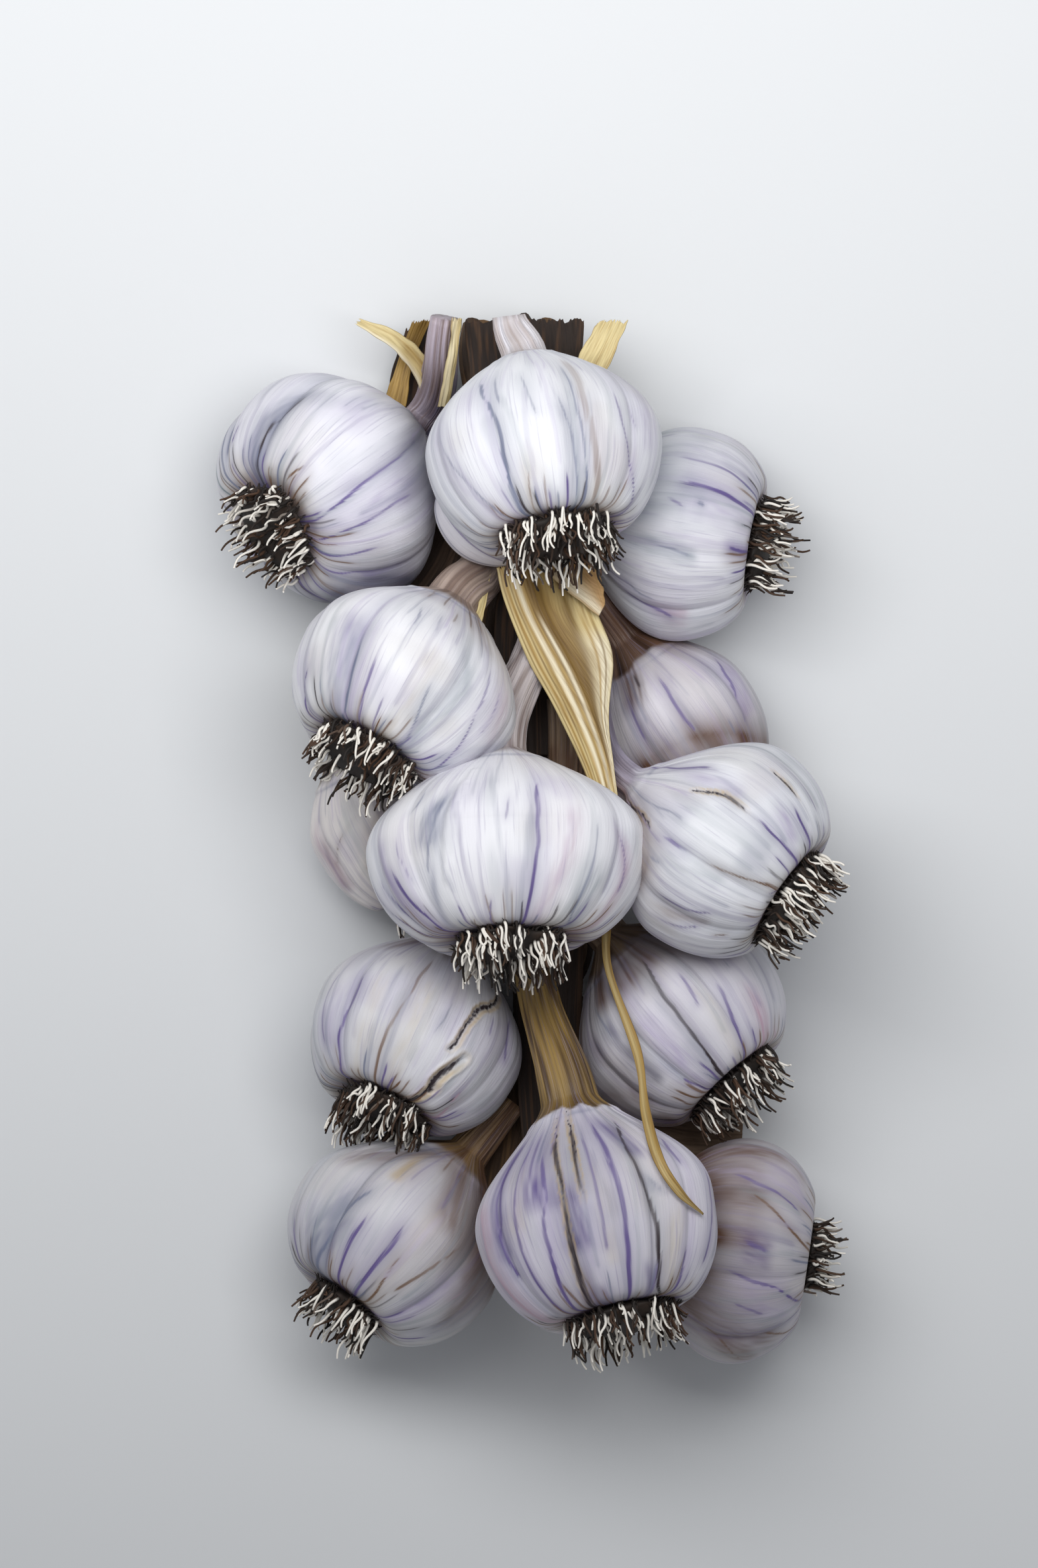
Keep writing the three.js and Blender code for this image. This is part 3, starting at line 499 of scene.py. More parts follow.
# %% Veins and washes of the side and back heads
VEINS |= {
    "top_left": [
        # painted shade beside the deep furrow
        ("slate", 6, 0.75, [(152, -0.9), (148, -0.5), (142, -0.2), (138, 0.1)]),
        ("rose", 7, 0.65, [(8, -0.8), (6, -0.38), (15, 0.03)]),
        ("lilac", 6, 0.45, [(70, 0.3), (70, -0.3), (62, -0.9)]),
        ("lilac", 5, 0.3, [(112, 0.4), (112, -0.2)]),
        ("violet", 1.2, 0.8, [(183, -0.78), (181, -0.67), (174, -0.48)]),
        ("dark", 1.8, 0.75, [(150, -0.92), (146, -0.51), (140, -0.3), (135, 0.04)]),
        ("brown", 1, 0.7, [(136, -0.99), (130, -0.88)]),
        ("brown", 1, 0.7, [(118, -1), (104, -0.69)]),
        ("violet", 1.4, 0.9, [(72, -1), (80, -0.54), (81, -0.06), (82, 0.43), (80, 0.66)]),
        ("violet", 1.1, 0.75, [(48, -1), (57, -0.86), (60, -0.65), (64, -0.21), (62, 0.19)]),
        ("violet", 1.1, 0.7, [(36, -0.95), (42, -0.64), (44, -0.34)]),
        ("violet", 1, 0.65, [(20, -0.92), (25, -0.57), (26, 0.05)]),
        ("slate", 0.9, 0.45, [(116, -0.17), (116, 0.32)]),
        ("slate", 0.9, 0.45, [(110, -0.07), (107, 0.53)]),
    ],
    "top_right": [
        ("rose", 6, 0.6, [(136, 0.3), (142, 0), (148, -0.4)]),
        ("teal", 4.4, 0.65, [(100, 0.5), (102, 0.05), (106, -0.4)]),
        ("lilac", 6, 0.45, [(76, 0.1), (76, -0.4), (78, -0.9)]),
        ("violet", 4, 0.6, [(94, -0.59), (97, -0.76), (100, -0.97)]),
        ("lilac", 6, 0.35, [(40, 0.3), (40, -0.3), (38, -0.9)]),
        ("violet", 1.8, 1, [(65, 0.21), (64, -0.41), (66, -0.94)]),
        ("violet", 1.8, 0.95, [(94, -0.55), (97, -0.76), (100, -0.97)]),
        ("violet", 1.4, 0.9, [(122, 0.6), (136, 0.47), (140, 0.26), (144, 0), (150, -0.24)]),
        ("slate", 1, 0.65, [(124, 0.55), (132, 0.29), (136, 0)]),
        ("slate", 1.1, 0.65, [(99, 0.6), (101, 0.05), (105, -0.35)]),
        ("violet", 1.1, 0.7, [(74, 0.18), (80, -0.15)]),
        ("slate", 1.6, 0.8, [(74, -0.17), (75, -0.32), (78, -0.38)]),
        ("violet", 1, 0.6, [(50, 0.3), (50, -0.9)]),
    ],
    "lower_left": [
        ("lilac", 5, 0.45, [(30, 0.5), (34, 0.2), (30, -0.2)]),
        ("beige", 5, 0.55, [(92, 0.4), (92, -0.2), (94, -0.9)]),
        ("beige", 4, 0.45, [(120, 0.3), (118, -0.3), (120, -0.9)]),
        ("lilac", 5, 0.4, [(142, 0.1), (146, -0.4), (148, -0.8)]),
        ("shade", 9, 0.65, [(84, 0.97), (86, 0.72), (86, 0.5)]),
        ("shade", 8, 0.5, [(124, 0.95), (130, 0.67), (138, 0.4)]),
        ("violet", 1.5, 0.9, [(132, 0.3), (132, -0.22), (137, -0.6), (137, -0.82), (144, -0.99)]),
        ("violet", 0.9, 0.45, [(142, 0.39), (152, -0.22), (149, -0.8)]),
        ("brown", 1.1, 0.65, [(98, 0.68), (101, 0.14), (104, -0.27), (106, -0.57), (106, -0.98)]),
        ("slate", 0.9, 0.5, [(76, 0.34), (81, -0.4)]),
        ("brown", 1, 0.75, [(84, -0.78), (90, -1)]),
        ("violet", 1.2, 0.8, [(38, 0.59), (30, 0.45), (34, 0.21), (28, -0.16)]),
        ("violet", 1, 0.6, [(51, 0.36), (49, -0.06)]),
        ("rose", 1.6, 0.8, [(28, -0.97), (40, -0.79), (46, -0.57), (44, -0.43)]),
    ],
    "lower_right": [
        ("shade", 10, 0.85, [(104, 0.95), (102, 0.6), (102, 0.25)]),
        ("shade", 9, 0.85, [(80, 0.95), (82, 0.6), (80, 0.3)]),
        ("shade", 8, 0.7, [(60, 0.95), (64, 0.5), (66, 0.2)]),
        ("shade", 8, 0.75, [(128, 0.95), (124, 0.6), (124, 0.3)]),
        ("shade", 7, 0.7, [(150, 0.8), (158, 0.4), (162, -0.1)]),
        ("blue_shade", 4, 0.55, [(128, 0.5), (124, 0.2), (122, -0.2), (124, -0.6)]),
        ("shade", 5, 0.45, [(150, 0.5), (142, 0.2), (138, -0.2), (146, -0.7)]),
        ("lilac", 6, 0.55, [(105, 0.3), (104, -0.2), (106, -0.7)]),
        ("rose", 5, 0.6, [(50, -0.2), (46, -0.6), (42, -0.97)]),
        ("beige", 3.6, 0.45, [(72, 0.2), (72, -0.4), (74, -0.95)]),
        ("dark", 1.4, 0.8, [(76, 0.72), (84, 0.43), (88, 0.13), (90, -0.45), (94, -0.94)]),
        ("violet", 1.2, 0.75, [(72, 0.38), (77, -0.17), (76, -0.33)]),
        ("slate", 0.9, 0.5, [(51, 0.08), (51, -0.14)]),
        ("violet", 1.2, 0.75, [(64, 0.05), (62, -0.23), (64, -0.47), (68, -0.86), (69, -0.98)]),
        ("rose", 1.2, 0.8, [(50, -0.38), (45, -0.97)]),
        ("rose", 1.2, 0.75, [(34, -0.78), (22, -0.94)]),
        ("slate", 1, 0.6, [(147, 0.72), (130, 0.44), (124, 0.03)]),
        ("violet", 1.5, 0.95, [(142, 0.41), (140, 0.23), (138, 0)]),
        ("violet", 1.1, 0.75, [(112, -0.16), (114, -0.53), (114, -0.96)]),
        ("violet", 1, 0.7, [(99, -0.52), (98, -0.8), (100, -0.98)]),
        ("brown", 1, 0.65, [(132, -0.6), (130, -0.79), (136, -0.98)]),
    ],
    "bottom_left": [
        # painted shade: brown washes on the side that lies under the bottom head
        ("brown", 8, 0.6, [(84, 0.95), (80, 0.5), (70, 0)]),
        ("brown", 9, 0.5, [(46, 0.95), (42, 0.3), (32, -0.3), (20, -0.7)]),
        ("brown", 5, 0.35, [(60, 0.9), (52, 0.3), (46, -0.2)]),
        ("shade", 8, 0.6, [(102, 0.95), (122, 0.6), (140, 0.28), (154, 0)]),
        # painted shade beside the deep furrow
        ("slate", 8, 0.6, [(128, 0.1), (133, -0.3), (140, -0.65), (150, -0.98)]),
        ("violet", 4, 0.55, [(118, -0.28), (127, -0.56), (129, -0.9)]),
        ("lilac", 5, 0.6, [(57, 0), (54, -0.42), (52, -0.85)]),
        ("ochre", 3.6, 0.55, [(118, 0.69), (114, 0.3), (113, 0.14)]),
        ("beige", 5, 0.45, [(84, 0.4), (84, -0.2), (82, -0.9)]),
        ("slate", 1.8, 0.95, [(114, 0.21), (119, 0), (127, -0.3), (132, -0.65), (142, -0.98)]),
        ("violet", 1.1, 0.7, [(174, -0.39), (174, -0.96)]),
        ("slate", 1, 0.6, [(146, -0.29), (143, -0.54), (147, -0.94)]),
        ("violet", 1.6, 0.95, [(111, -0.1), (113, -0.54), (112, -0.92)]),
        ("violet", 1.7, 1, [(94, 0.05), (92, -0.3), (92, -0.69), (90, -1)]),
        ("brown", 1.1, 0.75, [(85, -0.19), (84, -0.45), (78, -0.96)]),
        ("brown", 1.1, 0.75, [(59, 0.27), (65, 0), (71, -0.58), (72, -0.78)]),
        ("rose", 1.1, 0.7, [(39, 0.09), (44, -0.44)]),
        ("rose", 1.1, 0.7, [(24, 0.09), (26, -0.42)]),
        ("brown", 1, 0.7, [(83, 0.99), (82, 0.79), (84, 0.5)]),
        ("brown", 1, 0.7, [(104, 0.99), (95, 0.49)]),
    ],
    "bottom_right": [
        ("shade", 12, 0.5, [(56, 0.95), (56, 0.4), (56, -0.38)]),
        ("shade", 12, 0.5, [(128, 0.95), (134, 0.4), (146, -0.3), (160, -0.8)]),
        # painted shade: a brown wash along the top edge, under the lower right head
        ("brown", 8, 0.7, [(30, 0.95), (28, 0.3), (24, -0.5)]),
        ("violet", 7, 0.75, [(84, 0.2), (86, 0), (88, -0.2), (92, -0.50)]),
        ("lilac", 6, 0.5, [(41, -0.1), (40, -0.56), (53, -0.84)]),
        ("lilac", 5, 0.5, [(110, 0.1), (118, -0.3), (134, -0.8)]),
        ("shade", 7, 0.6, [(146, 0.3), (158, -0.1), (170, -0.5)]),
        # painted shade along the top edge, as above
        ("brown", 5, 0.45, [(30, 0.3), (24, -0.3), (30, -0.8)]),
        ("violet", 1.2, 0.8, [(43, 0.34), (50, 0.04), (54, -0.35), (61, -0.79)]),
        ("brown", 1.2, 0.85, [(56, 0.16), (60, -0.1), (72, -0.54), (84, -0.94)]),
        ("violet", 1.8, 0.85, [(81, 0.12), (86, -0.13), (90, -0.47)]),
        ("violet", 1.3, 0.85, [(99, 0.26), (104, -0.04), (112, -0.6), (138, -0.98)]),
        ("violet", 1.1, 0.7, [(112, 0.25), (118, 0), (126, -0.49)]),
        ("brown", 1.3, 0.8, [(136, 0.48), (138, 0.27), (152, 0), (170, -0.31)]),
        ("brown", 1.1, 0.7, [(138, -0.08), (147, -0.53), (163, -0.86)]),
    ],
    "left_back": [
        ("beige", 9, 0.6, [(66, 0.6), (76, 0.2), (96, -0.1), (112, -0.4)]),
        ("rose", 5, 0.6, [(160, 0.5), (158, 0), (160, -0.6)]),
        ("shade", 4, 0.4, [(150, 0.3), (156, -0.1), (160, -0.6)]),
        ("brown", 1, 0.7, [(98, 0.28), (124, 0.08), (168, -0.32)]),
        ("brown", 1, 0.65, [(88, 0.15), (109, -0.27), (137, -0.55)]),
        ("slate", 1, 0.6, [(70, 0.4), (80, -0.1), (90, -0.7)]),
    ],
    "right_back": [
        ("lilac", 5, 0.65, [(16, 0.5), (28, 0.1), (36, -0.4)]),
        ("shade", 7, 0.9, [(103, 0.95), (108, 0.62), (116, 0.3)]),
        ("violet", 5, 0.35, [(115, 0.6), (119, 0), (118, -0.6)]),
        ("violet", 1.3, 0.85, [(74, 0.75), (81, 0.53), (84, 0.08), (82, -0.24)]),
        ("dark", 1.2, 0.8, [(100, 0.77), (100, 0.5)]),
        ("violet", 1.3, 0.9, [(16, 0.6), (32, 0.26), (38, 0), (47, -0.49)]),
        ("violet", 1.2, 0.75, [(115, 0.7), (119, 0)]),
        ("slate", 1, 0.6, [(103, 0.12), (104, -0.2)]),
        ("slate", 1, 0.6, [(58, -0.1), (59, -0.5)]),
    ],
}
print("rows in all:", sum(len(rows) for rows in VEINS.values()))

# %% Paper, collar and stalk of each head
# Paper: the skin's own white, greyer on most of the lower heads, partly as painted shade.
# Collar: where the skin ends, as a share along, and how many shares its edge fades over.
# Then the stalk's light and dark tones.
PAPER = {
    "top": ((230, 231, 235), (0.90, 0.08), (222, 219, 224), (172, 160, 156)),
    "middle": ((234, 234, 238), (0.84, 0.12), (192, 184, 184), (130, 116, 112)),
    "bottom": ((216, 213, 222), (0.84, 0.03), (150, 122, 66), (76, 55, 28)),
    "upper_left": ((235, 235, 238), (0.80, 0.10), (176, 158, 146), (112, 90, 78)),
    "upper_right": ((230, 231, 236), (0.90, 0.12), (166, 160, 178), (110, 102, 114)),
    "top_left": ((230, 229, 236), (0.86, 0.10), (186, 174, 184), (124, 104, 96)),
    "top_right": ((228, 228, 233), (0.84, 0.10), (172, 150, 108), (92, 68, 42)),
    "lower_left": ((220, 220, 225), (0.80, 0.10), (168, 146, 116), (88, 66, 46)),
    "lower_right": ((216, 214, 221), (0.72, 0.12), (150, 128, 104), (74, 54, 38)),
    "bottom_left": ((212, 211, 216), (0.76, 0.10), (150, 124, 82), (72, 50, 32)),
    "bottom_right": ((206, 203, 210), (0.66, 0.14), (128, 104, 78), (56, 40, 28)),
    "left_back": ((238, 232, 228), (0.70, 0.12), (120, 96, 70), (56, 40, 28)),
    "right_back": ((214, 211, 218), (0.74, 0.05), (126, 100, 84), (46, 31, 22)),
}
print("papers:", len(PAPER))

# %% Painted shade where the heads lie under higher ones
# Painted shade: the skin is darkened where a head lies under a higher one, in its shade.
# Each row: a tone, its strength, and how far it reaches in mm.
SHADE_UNDER_NEIGHBOURS = {
    "upper_left": ("slate", 0.40, 2),
    "upper_right": ("shade", 0.70, 3),
    "top_left": ("blue_shade", 0.85, 5),
    "top_right": ("teal", 0.75, 7),
    "lower_left": ("shade", 0.50, 3),
    "lower_right": ("shade", 0.70, 3),
    "bottom_left": ("shade", 0.95, 8),
    "bottom_right": ("shade", 0.98, 11),
    "left_back": ("shade", 0.40, 2),
    "right_back": ("shade", 0.90, 5),
}
# Faint painted shade for the heads that have no row.
FAINT_SHADE_UNDER_NEIGHBOURS = ("slate", 0.3, 2)  # on the heads that have no row
print("heads with painted shade:", len(SHADE_UNDER_NEIGHBOURS))

# %% [markdown]
# ## Splits in the skin
# Where a head was knocked or dried too fast, its skin has split and curls up at the
# edges. A split is a groove with a raised lip, inked dark inside as painted shade. A rib
# is a raised fold.

# %% Splits and ribs
# Each row: depth in mm (a rib's is negative), width in mm, and its line.
SPLITS = {
    "lower_left": [
        (0.8, 1.3,
         [(39, 0.62), (44, 0.48), (54, 0.31), (60, 0.22), (64, 0.07), (66, -0.24), (68, -0.35)]),
        (1.5, 1.8, [(57, -0.35), (60, -0.48), (63, -0.60), (64, -0.71), (60, -0.78)]),
        (1.0, 1.4, [(62, -0.74), (64, -0.86), (66, -0.93), (64, -0.99), (54, -1.02)]),
    ],
    "upper_right": [
        (0.6, 0.8, [(72, 0.37), (70, 0.25), (66, 0.07), (66, -0.2)]),
        (0.5, 0.6, [(34, -0.12), (34, -0.52)]),
        (0.5, 0.8, [(130, 0.97), (110, 0.73), (106, 0.52)]),
    ],
    "middle": [(-0.7, 1.9, [(107, 0.57), (111, 0.23), (114, -0.05), (116, -0.32), (119, -0.55)])],
    "bottom": [
        (0.4, 0.9, [(110, 0.8), (104, 0.23), (106, -0.4), (110, -0.91)]),
        (0.4, 0.9, [(96, 0.84), (94, 0.46), (94, -0.04)]),
    ],
}
print("splits and ribs:", sum(len(rows) for rows in SPLITS.values()))

# %% [markdown]
# ## Heads
# A head could be sculpted, or cut from a sphere with a displacement texture. Here it is
# a fine grid of rings round the bent axis, because every vein, furrow and split is
# already known as an angle and a share along, and a grid of rings has just those two.
# Relief moves the grid's points in or out, and colours are kept on the same points.

# %% Random waves round a head
WAVE_ROWS = 9  # how many times the waves change from the roots to the stalk's end


def waves(angle, along, crowd, seed):
    """Smooth random values from -1 to 1: crowd of them in a turn, changing slowly along
    from -1 to 3."""
    table = np.random.default_rng(seed).uniform(-1, 1, (WAVE_ROWS + 2, crowd))
    u = np.asarray(angle) / 360 * crowd
    v = np.clip((np.asarray(along) + 1) / 4, 0, 1) * WAVE_ROWS
    i, j = np.floor(u).astype(int), np.floor(v).astype(int)
    a, b = smooth(0, 1, u - i), smooth(0, 1, v - j)
    low = table[j, i % crowd] * (1 - a) + table[j, (i + 1) % crowd] * a
    high = table[j + 1, i % crowd] * (1 - a) + table[j + 1, (i + 1) % crowd] * a
    return low * (1 - b) + high * b


print("a wave:", waves(np.arange(0, 360, 90), 0.0, 12, 1).round(2))

# %% A smooth curve through a few places


def smooth_path(places, share):
    """Places on a smooth curve that runs through the given ones, for shares from 0 to 1."""
    p = np.array(places, float)
    p = np.concatenate([[2 * p[0] - p[1]], p, [2 * p[-1] - p[-2]]])
    x = np.clip(np.asarray(share, float), 0, 1) * (len(p) - 3)
    i = np.minimum(x.astype(int), len(p) - 4)
    t = (x - i)[..., None]
    a, b, c, d = p[i], p[i + 1], p[i + 2], p[i + 3]
    return b + 0.5 * t * (c - a + t * (2 * a - 5 * b + 4 * c - d + t * (3 * (b - c) + d - a)))


print("halfway along a bend:", smooth_path([(0, 0), (1, 1), (3, 1)], 0.5))

# %% Distance from a line on the skin
LINE_STEPS = 30
NECK_TIP = 9  # mm over which a line thins out towards the neck
NEAR_NECK, NEAR_ROOTS = 0.9, -0.85  # lines that reach past these don't fade out there


def beside(head, line, angle, along, wobble=0.0, seed=0, fade=4.0):
    """Millimetres to the side of a line, and 1 along it that falls to 0 past its ends."""
    line = smooth_path(sorted(line, key=lambda place: place[1]), np.linspace(0, 1, LINE_STEPS))
    angles, shares = line[:, 0], line[:, 1]
    turned = turned_from(np.interp(along, shares, angles), angle)
    across = np.radians(turned) * ring_at(head, along)[0]
    across = across + wobble * waves(along * 180 + 180, 0.0, 13, seed)
    foot, neck = shares[0], shares[-1]
    tip_fade = min(max(NECK_TIP, fade) / head["high"], (neck - foot) / 2)
    foot_fade = min(fade / head["high"], (neck - foot) / 3)
    into_neck = smooth(neck, neck - tip_fade, along) if neck < NEAR_NECK else along < 1.2
    into_roots = smooth(foot, foot + foot_fade, along) if foot > NEAR_ROOTS else 1.0
    return across, into_neck * into_roots


def smooth_hill(across, width):
    """1 on a line, falling to nearly 0 at its width to either side."""
    return np.exp(-((across / (0.6 * width)) ** 2))


across, _ = beside(HEADS["top"], [(90, 0.5), (90, -0.5)], np.array([80.0, 100]), np.array([0.0, 0]))
print("10 degrees round the top head's middle:", across.round(1), "mm")

# %% Distance from a crack
MERIDIAN = np.linspace(-1, 1.4, 600)  # shares along a head, from its roots to past its neck
CRACK_STEPS = 70
CRACK_JAG = 0.32  # how far, in mm, its path strays at each step
CRACK_SEED = 40
FAR = 99.0  # mm, further than any two places on a head


def beside_crack(head, places, angle, along, seed):
    """Millimetres from a jagged path on the skin, and 1 at its middle that falls to 0 at its
    ends. A crack may run any way, so this measures over the skin unrolled flat."""
    radius, distance = ring_at(head, MERIDIAN)
    run = np.concatenate([[0], np.cumsum(np.hypot(np.diff(radius), np.diff(distance)))])
    path = smooth_path(places, np.linspace(0, 1, CRACK_STEPS))
    start = path[0, 0]
    across = np.radians(turned_from(start, angle)) * ring_at(head, along)[0]
    down = np.interp(along, MERIDIAN, run)
    jag = np.random.default_rng(seed).uniform(-CRACK_JAG, CRACK_JAG, (CRACK_STEPS, 2))
    path_across = np.radians(path[:, 0] - start) * ring_at(head, path[:, 1])[0] + jag[:, 0]
    path_down = np.interp(path[:, 1], MERIDIAN, run) + jag[:, 1]
    nearest = np.full(angle.shape, FAR)
    share = np.zeros(angle.shape)
    for i, (x, y) in enumerate(zip(path_across, path_down)):
        away = np.hypot(across - x, down - y)
        share = np.where(away < nearest, i / (CRACK_STEPS - 1), share)
        nearest = np.minimum(away, nearest)
    return nearest, np.sin(np.pi * np.clip(0.06 + 0.9 * share, 0, 1)) ** 0.6


def crack_groove(away, inside, width):
    """1 in the middle of a crack, falling to 0 beside it; it narrows towards its ends."""
    return smooth_hill(away, width * (0.35 + 0.65 * inside))


print("a crack 1 mm wide, from 0 to 1 mm away:", crack_groove(np.array([0, 0.5, 1]), 1, 1).round(2))

# %% Relief of the skin
COLLAR_LIP, LIP_LENGTH = 0.4, 0.03  # its height in mm, and its length as a share along


def furrow_share(head, angle):
    """How far the furrows between cloves draw the skin in, as a share of its radius."""
    rows = head["furrows"]
    share = 0.0
    for i, (centre, depth) in enumerate(rows):
        before = (centre - rows[i - 1][0]) % 360 / 2
        after = (rows[(i + 1) % len(rows)][0] - centre) % 360 / 2
        off = turned_from(centre, angle)
        reach = np.where(off < 0, before, after)
        share = share + depth * np.clip(1 - np.abs(off) / reach, 0, 1) ** 3
    return share


def relief(name, angle, along):
    """How far the skin stands proud of the plain lathed head, in mm."""
    head = HEADS[name]
    seed = 100 * (1 + list(HEADS).index(name))
    radius, distance = ring_at(head, along)
    on_head = np.clip(1 - np.maximum(0, distance) / head["high"], 0, 1)
    proud = -radius * furrow_share(head, angle) * on_head
    swells = [  # each one's height in mm, and how many there are in a turn
        (0.35 * on_head, 9),  # broad uneven places, which don't follow the cloves
        (0.10 + 0.10 * smooth(0, 0.7, along), 90),  # fine ribs, higher on the neck
        (0.45 * smooth(0.45, 0.95, along), 26),  # gathers at the neck
        (0.30 * smooth(-0.8, -0.98, along), 30),  # gathers at the roots
    ]
    for number, (height, crowd) in enumerate(swells):
        proud = proud + height * waves(angle, along, crowd, seed + number)
    collar = PAPER[name][1][0]
    proud = proud + COLLAR_LIP * np.exp(-(((along - collar) / LIP_LENGTH) ** 2))
    for number, (depth, width, line) in enumerate(SPLITS.get(name, [])):
        away, inside = beside_crack(head, line, angle, along, CRACK_SEED + number)
        lip = smooth_hill(away - width, width * 0.5)
        proud = proud + 0.3 * depth * lip * inside - depth * crack_groove(away, inside, width)
    return proud


print("relief on the top head:", relief("top", np.array([90.0, 112]), np.array([0.0, 0])).round(2), "mm")

# %% Mixing colours


def mixed(colour, tone, amount):
    """A colour moved towards a tone by an amount from 0 to 1."""
    return colour + (tone - colour) * np.clip(amount, 0, 1)[..., None]


def coloured(colours):
    """Colours with a full alpha."""
    return np.concatenate([colours, np.ones(colours.shape[:-1] + (1,))], -1)


def inked(near, ink, hill, tone):
    """How near each place is to a vein, and the nearest one's ink, once one more is drawn."""
    return np.maximum(near, hill), mixed(ink, tone, smooth(-0.15, 0.15, hill - near))


print("halfway from black to white:", mixed(np.zeros(3), np.ones(3), np.array(0.5)))

# %% The paper before it is veined
# Tints lie in random patches. Each row: a tone, its strength, how high the waves are where
# it starts, and how many waves there are in a turn.
TINTS = [("lilac", 0.24, 0.1, 17), ("beige", 0.22, 0.1, 19), ("teal", 0.22, 0.2, 41)]


def bare_paper(name, angle, along, seed):
    """The skin's white, tinted in patches, greyed by painted shade in the furrows, and brown at the
    roots.
    """
    paper = np.broadcast_to(srgb(*PAPER[name][0]), angle.shape + (3,)).copy()
    for number, (tone, strength, lowest, crowd) in enumerate(TINTS):
        patches = smooth(lowest, 0.8, waves(angle, along, crowd, seed + number))
        paper = mixed(paper, TONES[tone], strength * patches)
    # Painted shade: the skin is greyed in the furrows between the cloves, where shade falls.
    furrows = furrow_share(HEADS[name], angle) * smooth(0.95, 0.3, along)
    paper = mixed(paper, TONES["slate"], 3.4 * furrows)
    paper = mixed(paper, TONES["beige"], 0.5 * smooth(-0.8, -1, along))
    return mixed(paper, TONES["brown"], 0.8 * smooth(-0.93, -1, along))


print("paper at the top head's middle:", bare_paper("top", np.array([90.0]), np.array([0.0]), 0).round(2))

# %% Where the paper ends and the stalk starts


def with_stalk(name, angle, along, seed, paper, near):
    """The paper and its veins, which give way past a ragged collar to a striped stalk."""
    _, (collar, fade), light, dark = PAPER[name]
    # Painted shadow: a slate line just short of the collar, where the skin ends.
    collar_shadow = np.exp(-(((along - collar + 0.03) / 0.022) ** 2))
    collar_shadow = collar_shadow * smooth(-0.4, 0.6, waves(angle, 0.0, 14, seed + 73))
    paper = mixed(paper, TONES["slate"], 0.5 * collar_shadow)
    stripes = 0.6 * waves(angle, along, 22, seed + 70) + 0.5 * waves(angle, along, 50, seed + 71)
    stripes = smooth(-0.75, 0.65, stripes)
    stalk = mixed(np.broadcast_to(srgb(*dark), paper.shape), srgb(*light), stripes)
    ragged = collar + 0.05 * waves(angle, along * 0, 24, seed + 72)
    on_stalk = smooth(ragged, ragged + fade, along)
    return paper + (stalk - paper) * on_stalk[..., None], near * (1 - on_stalk)


print("collars, shares along:", [row[1][0] for row in PAPER.values()])

# %% Fine veins that every head has


def fine_veins(seed):
    """Random veins: short ones at the roots and at the neck, and long ones that are faint
    on the shown side and strong on the side that lies on the table."""
    rng = np.random.default_rng(seed + 50)
    rows = []
    for start in np.arange(0, 360, 8.0):
        angle = start + rng.uniform(-4, 4)
        tone = ["brown", "dark", "slate", "brown", "violet"][rng.integers(5)]
        line = [(angle, -1), (angle + rng.uniform(-3, 3), rng.uniform(-0.86, -0.5))]
        rows.append((tone, rng.uniform(0.7, 1.1), rng.uniform(0.35, 0.85), line))
    for start in np.arange(0, 360, 13.0):
        angle = start + rng.uniform(-5, 5)
        tone = ["slate", "lilac", "violet"][rng.integers(3)]
        line = [(angle, 0.95), (angle + rng.uniform(-5, 5), rng.uniform(0.1, 0.5))]
        rows.append((tone, rng.uniform(0.8, 1.2), rng.uniform(0.2, 0.5), line))
    for start in np.arange(4, 360, 11.0):
        angle = start + rng.uniform(-4, 4)
        hidden = 190 < angle < 350
        drift = rng.uniform(-5, 5)
        upper, lower = rng.uniform(0.3, 0.85), rng.uniform(-0.98, -0.7)
        line = [(angle + drift, upper), (angle, 0), (angle - drift, lower)]
        tone = ["violet", "slate", "lilac", "teal"][rng.integers(4)]
        strength = rng.uniform(0.5, 0.9) if hidden else rng.uniform(0.10, 0.28)
        width = rng.uniform(1.0, 1.6) if hidden else rng.uniform(1.4, 2.6)
        rows.append((tone, width, strength, line))
    return rows


print("fine veins on a head:", len(fine_veins(0)))

# %% Paint for the skin
VEIN_WOBBLE, VEIN_FADE = 0.25, 4.0  # mm that a vein strays, and over which its foot fades
WASH_FADE = 0.8  # the same for a wash, as a share of its width
HALO_WIDTH, HALO_STRENGTH = 3.4, 0.28  # over the vein's own


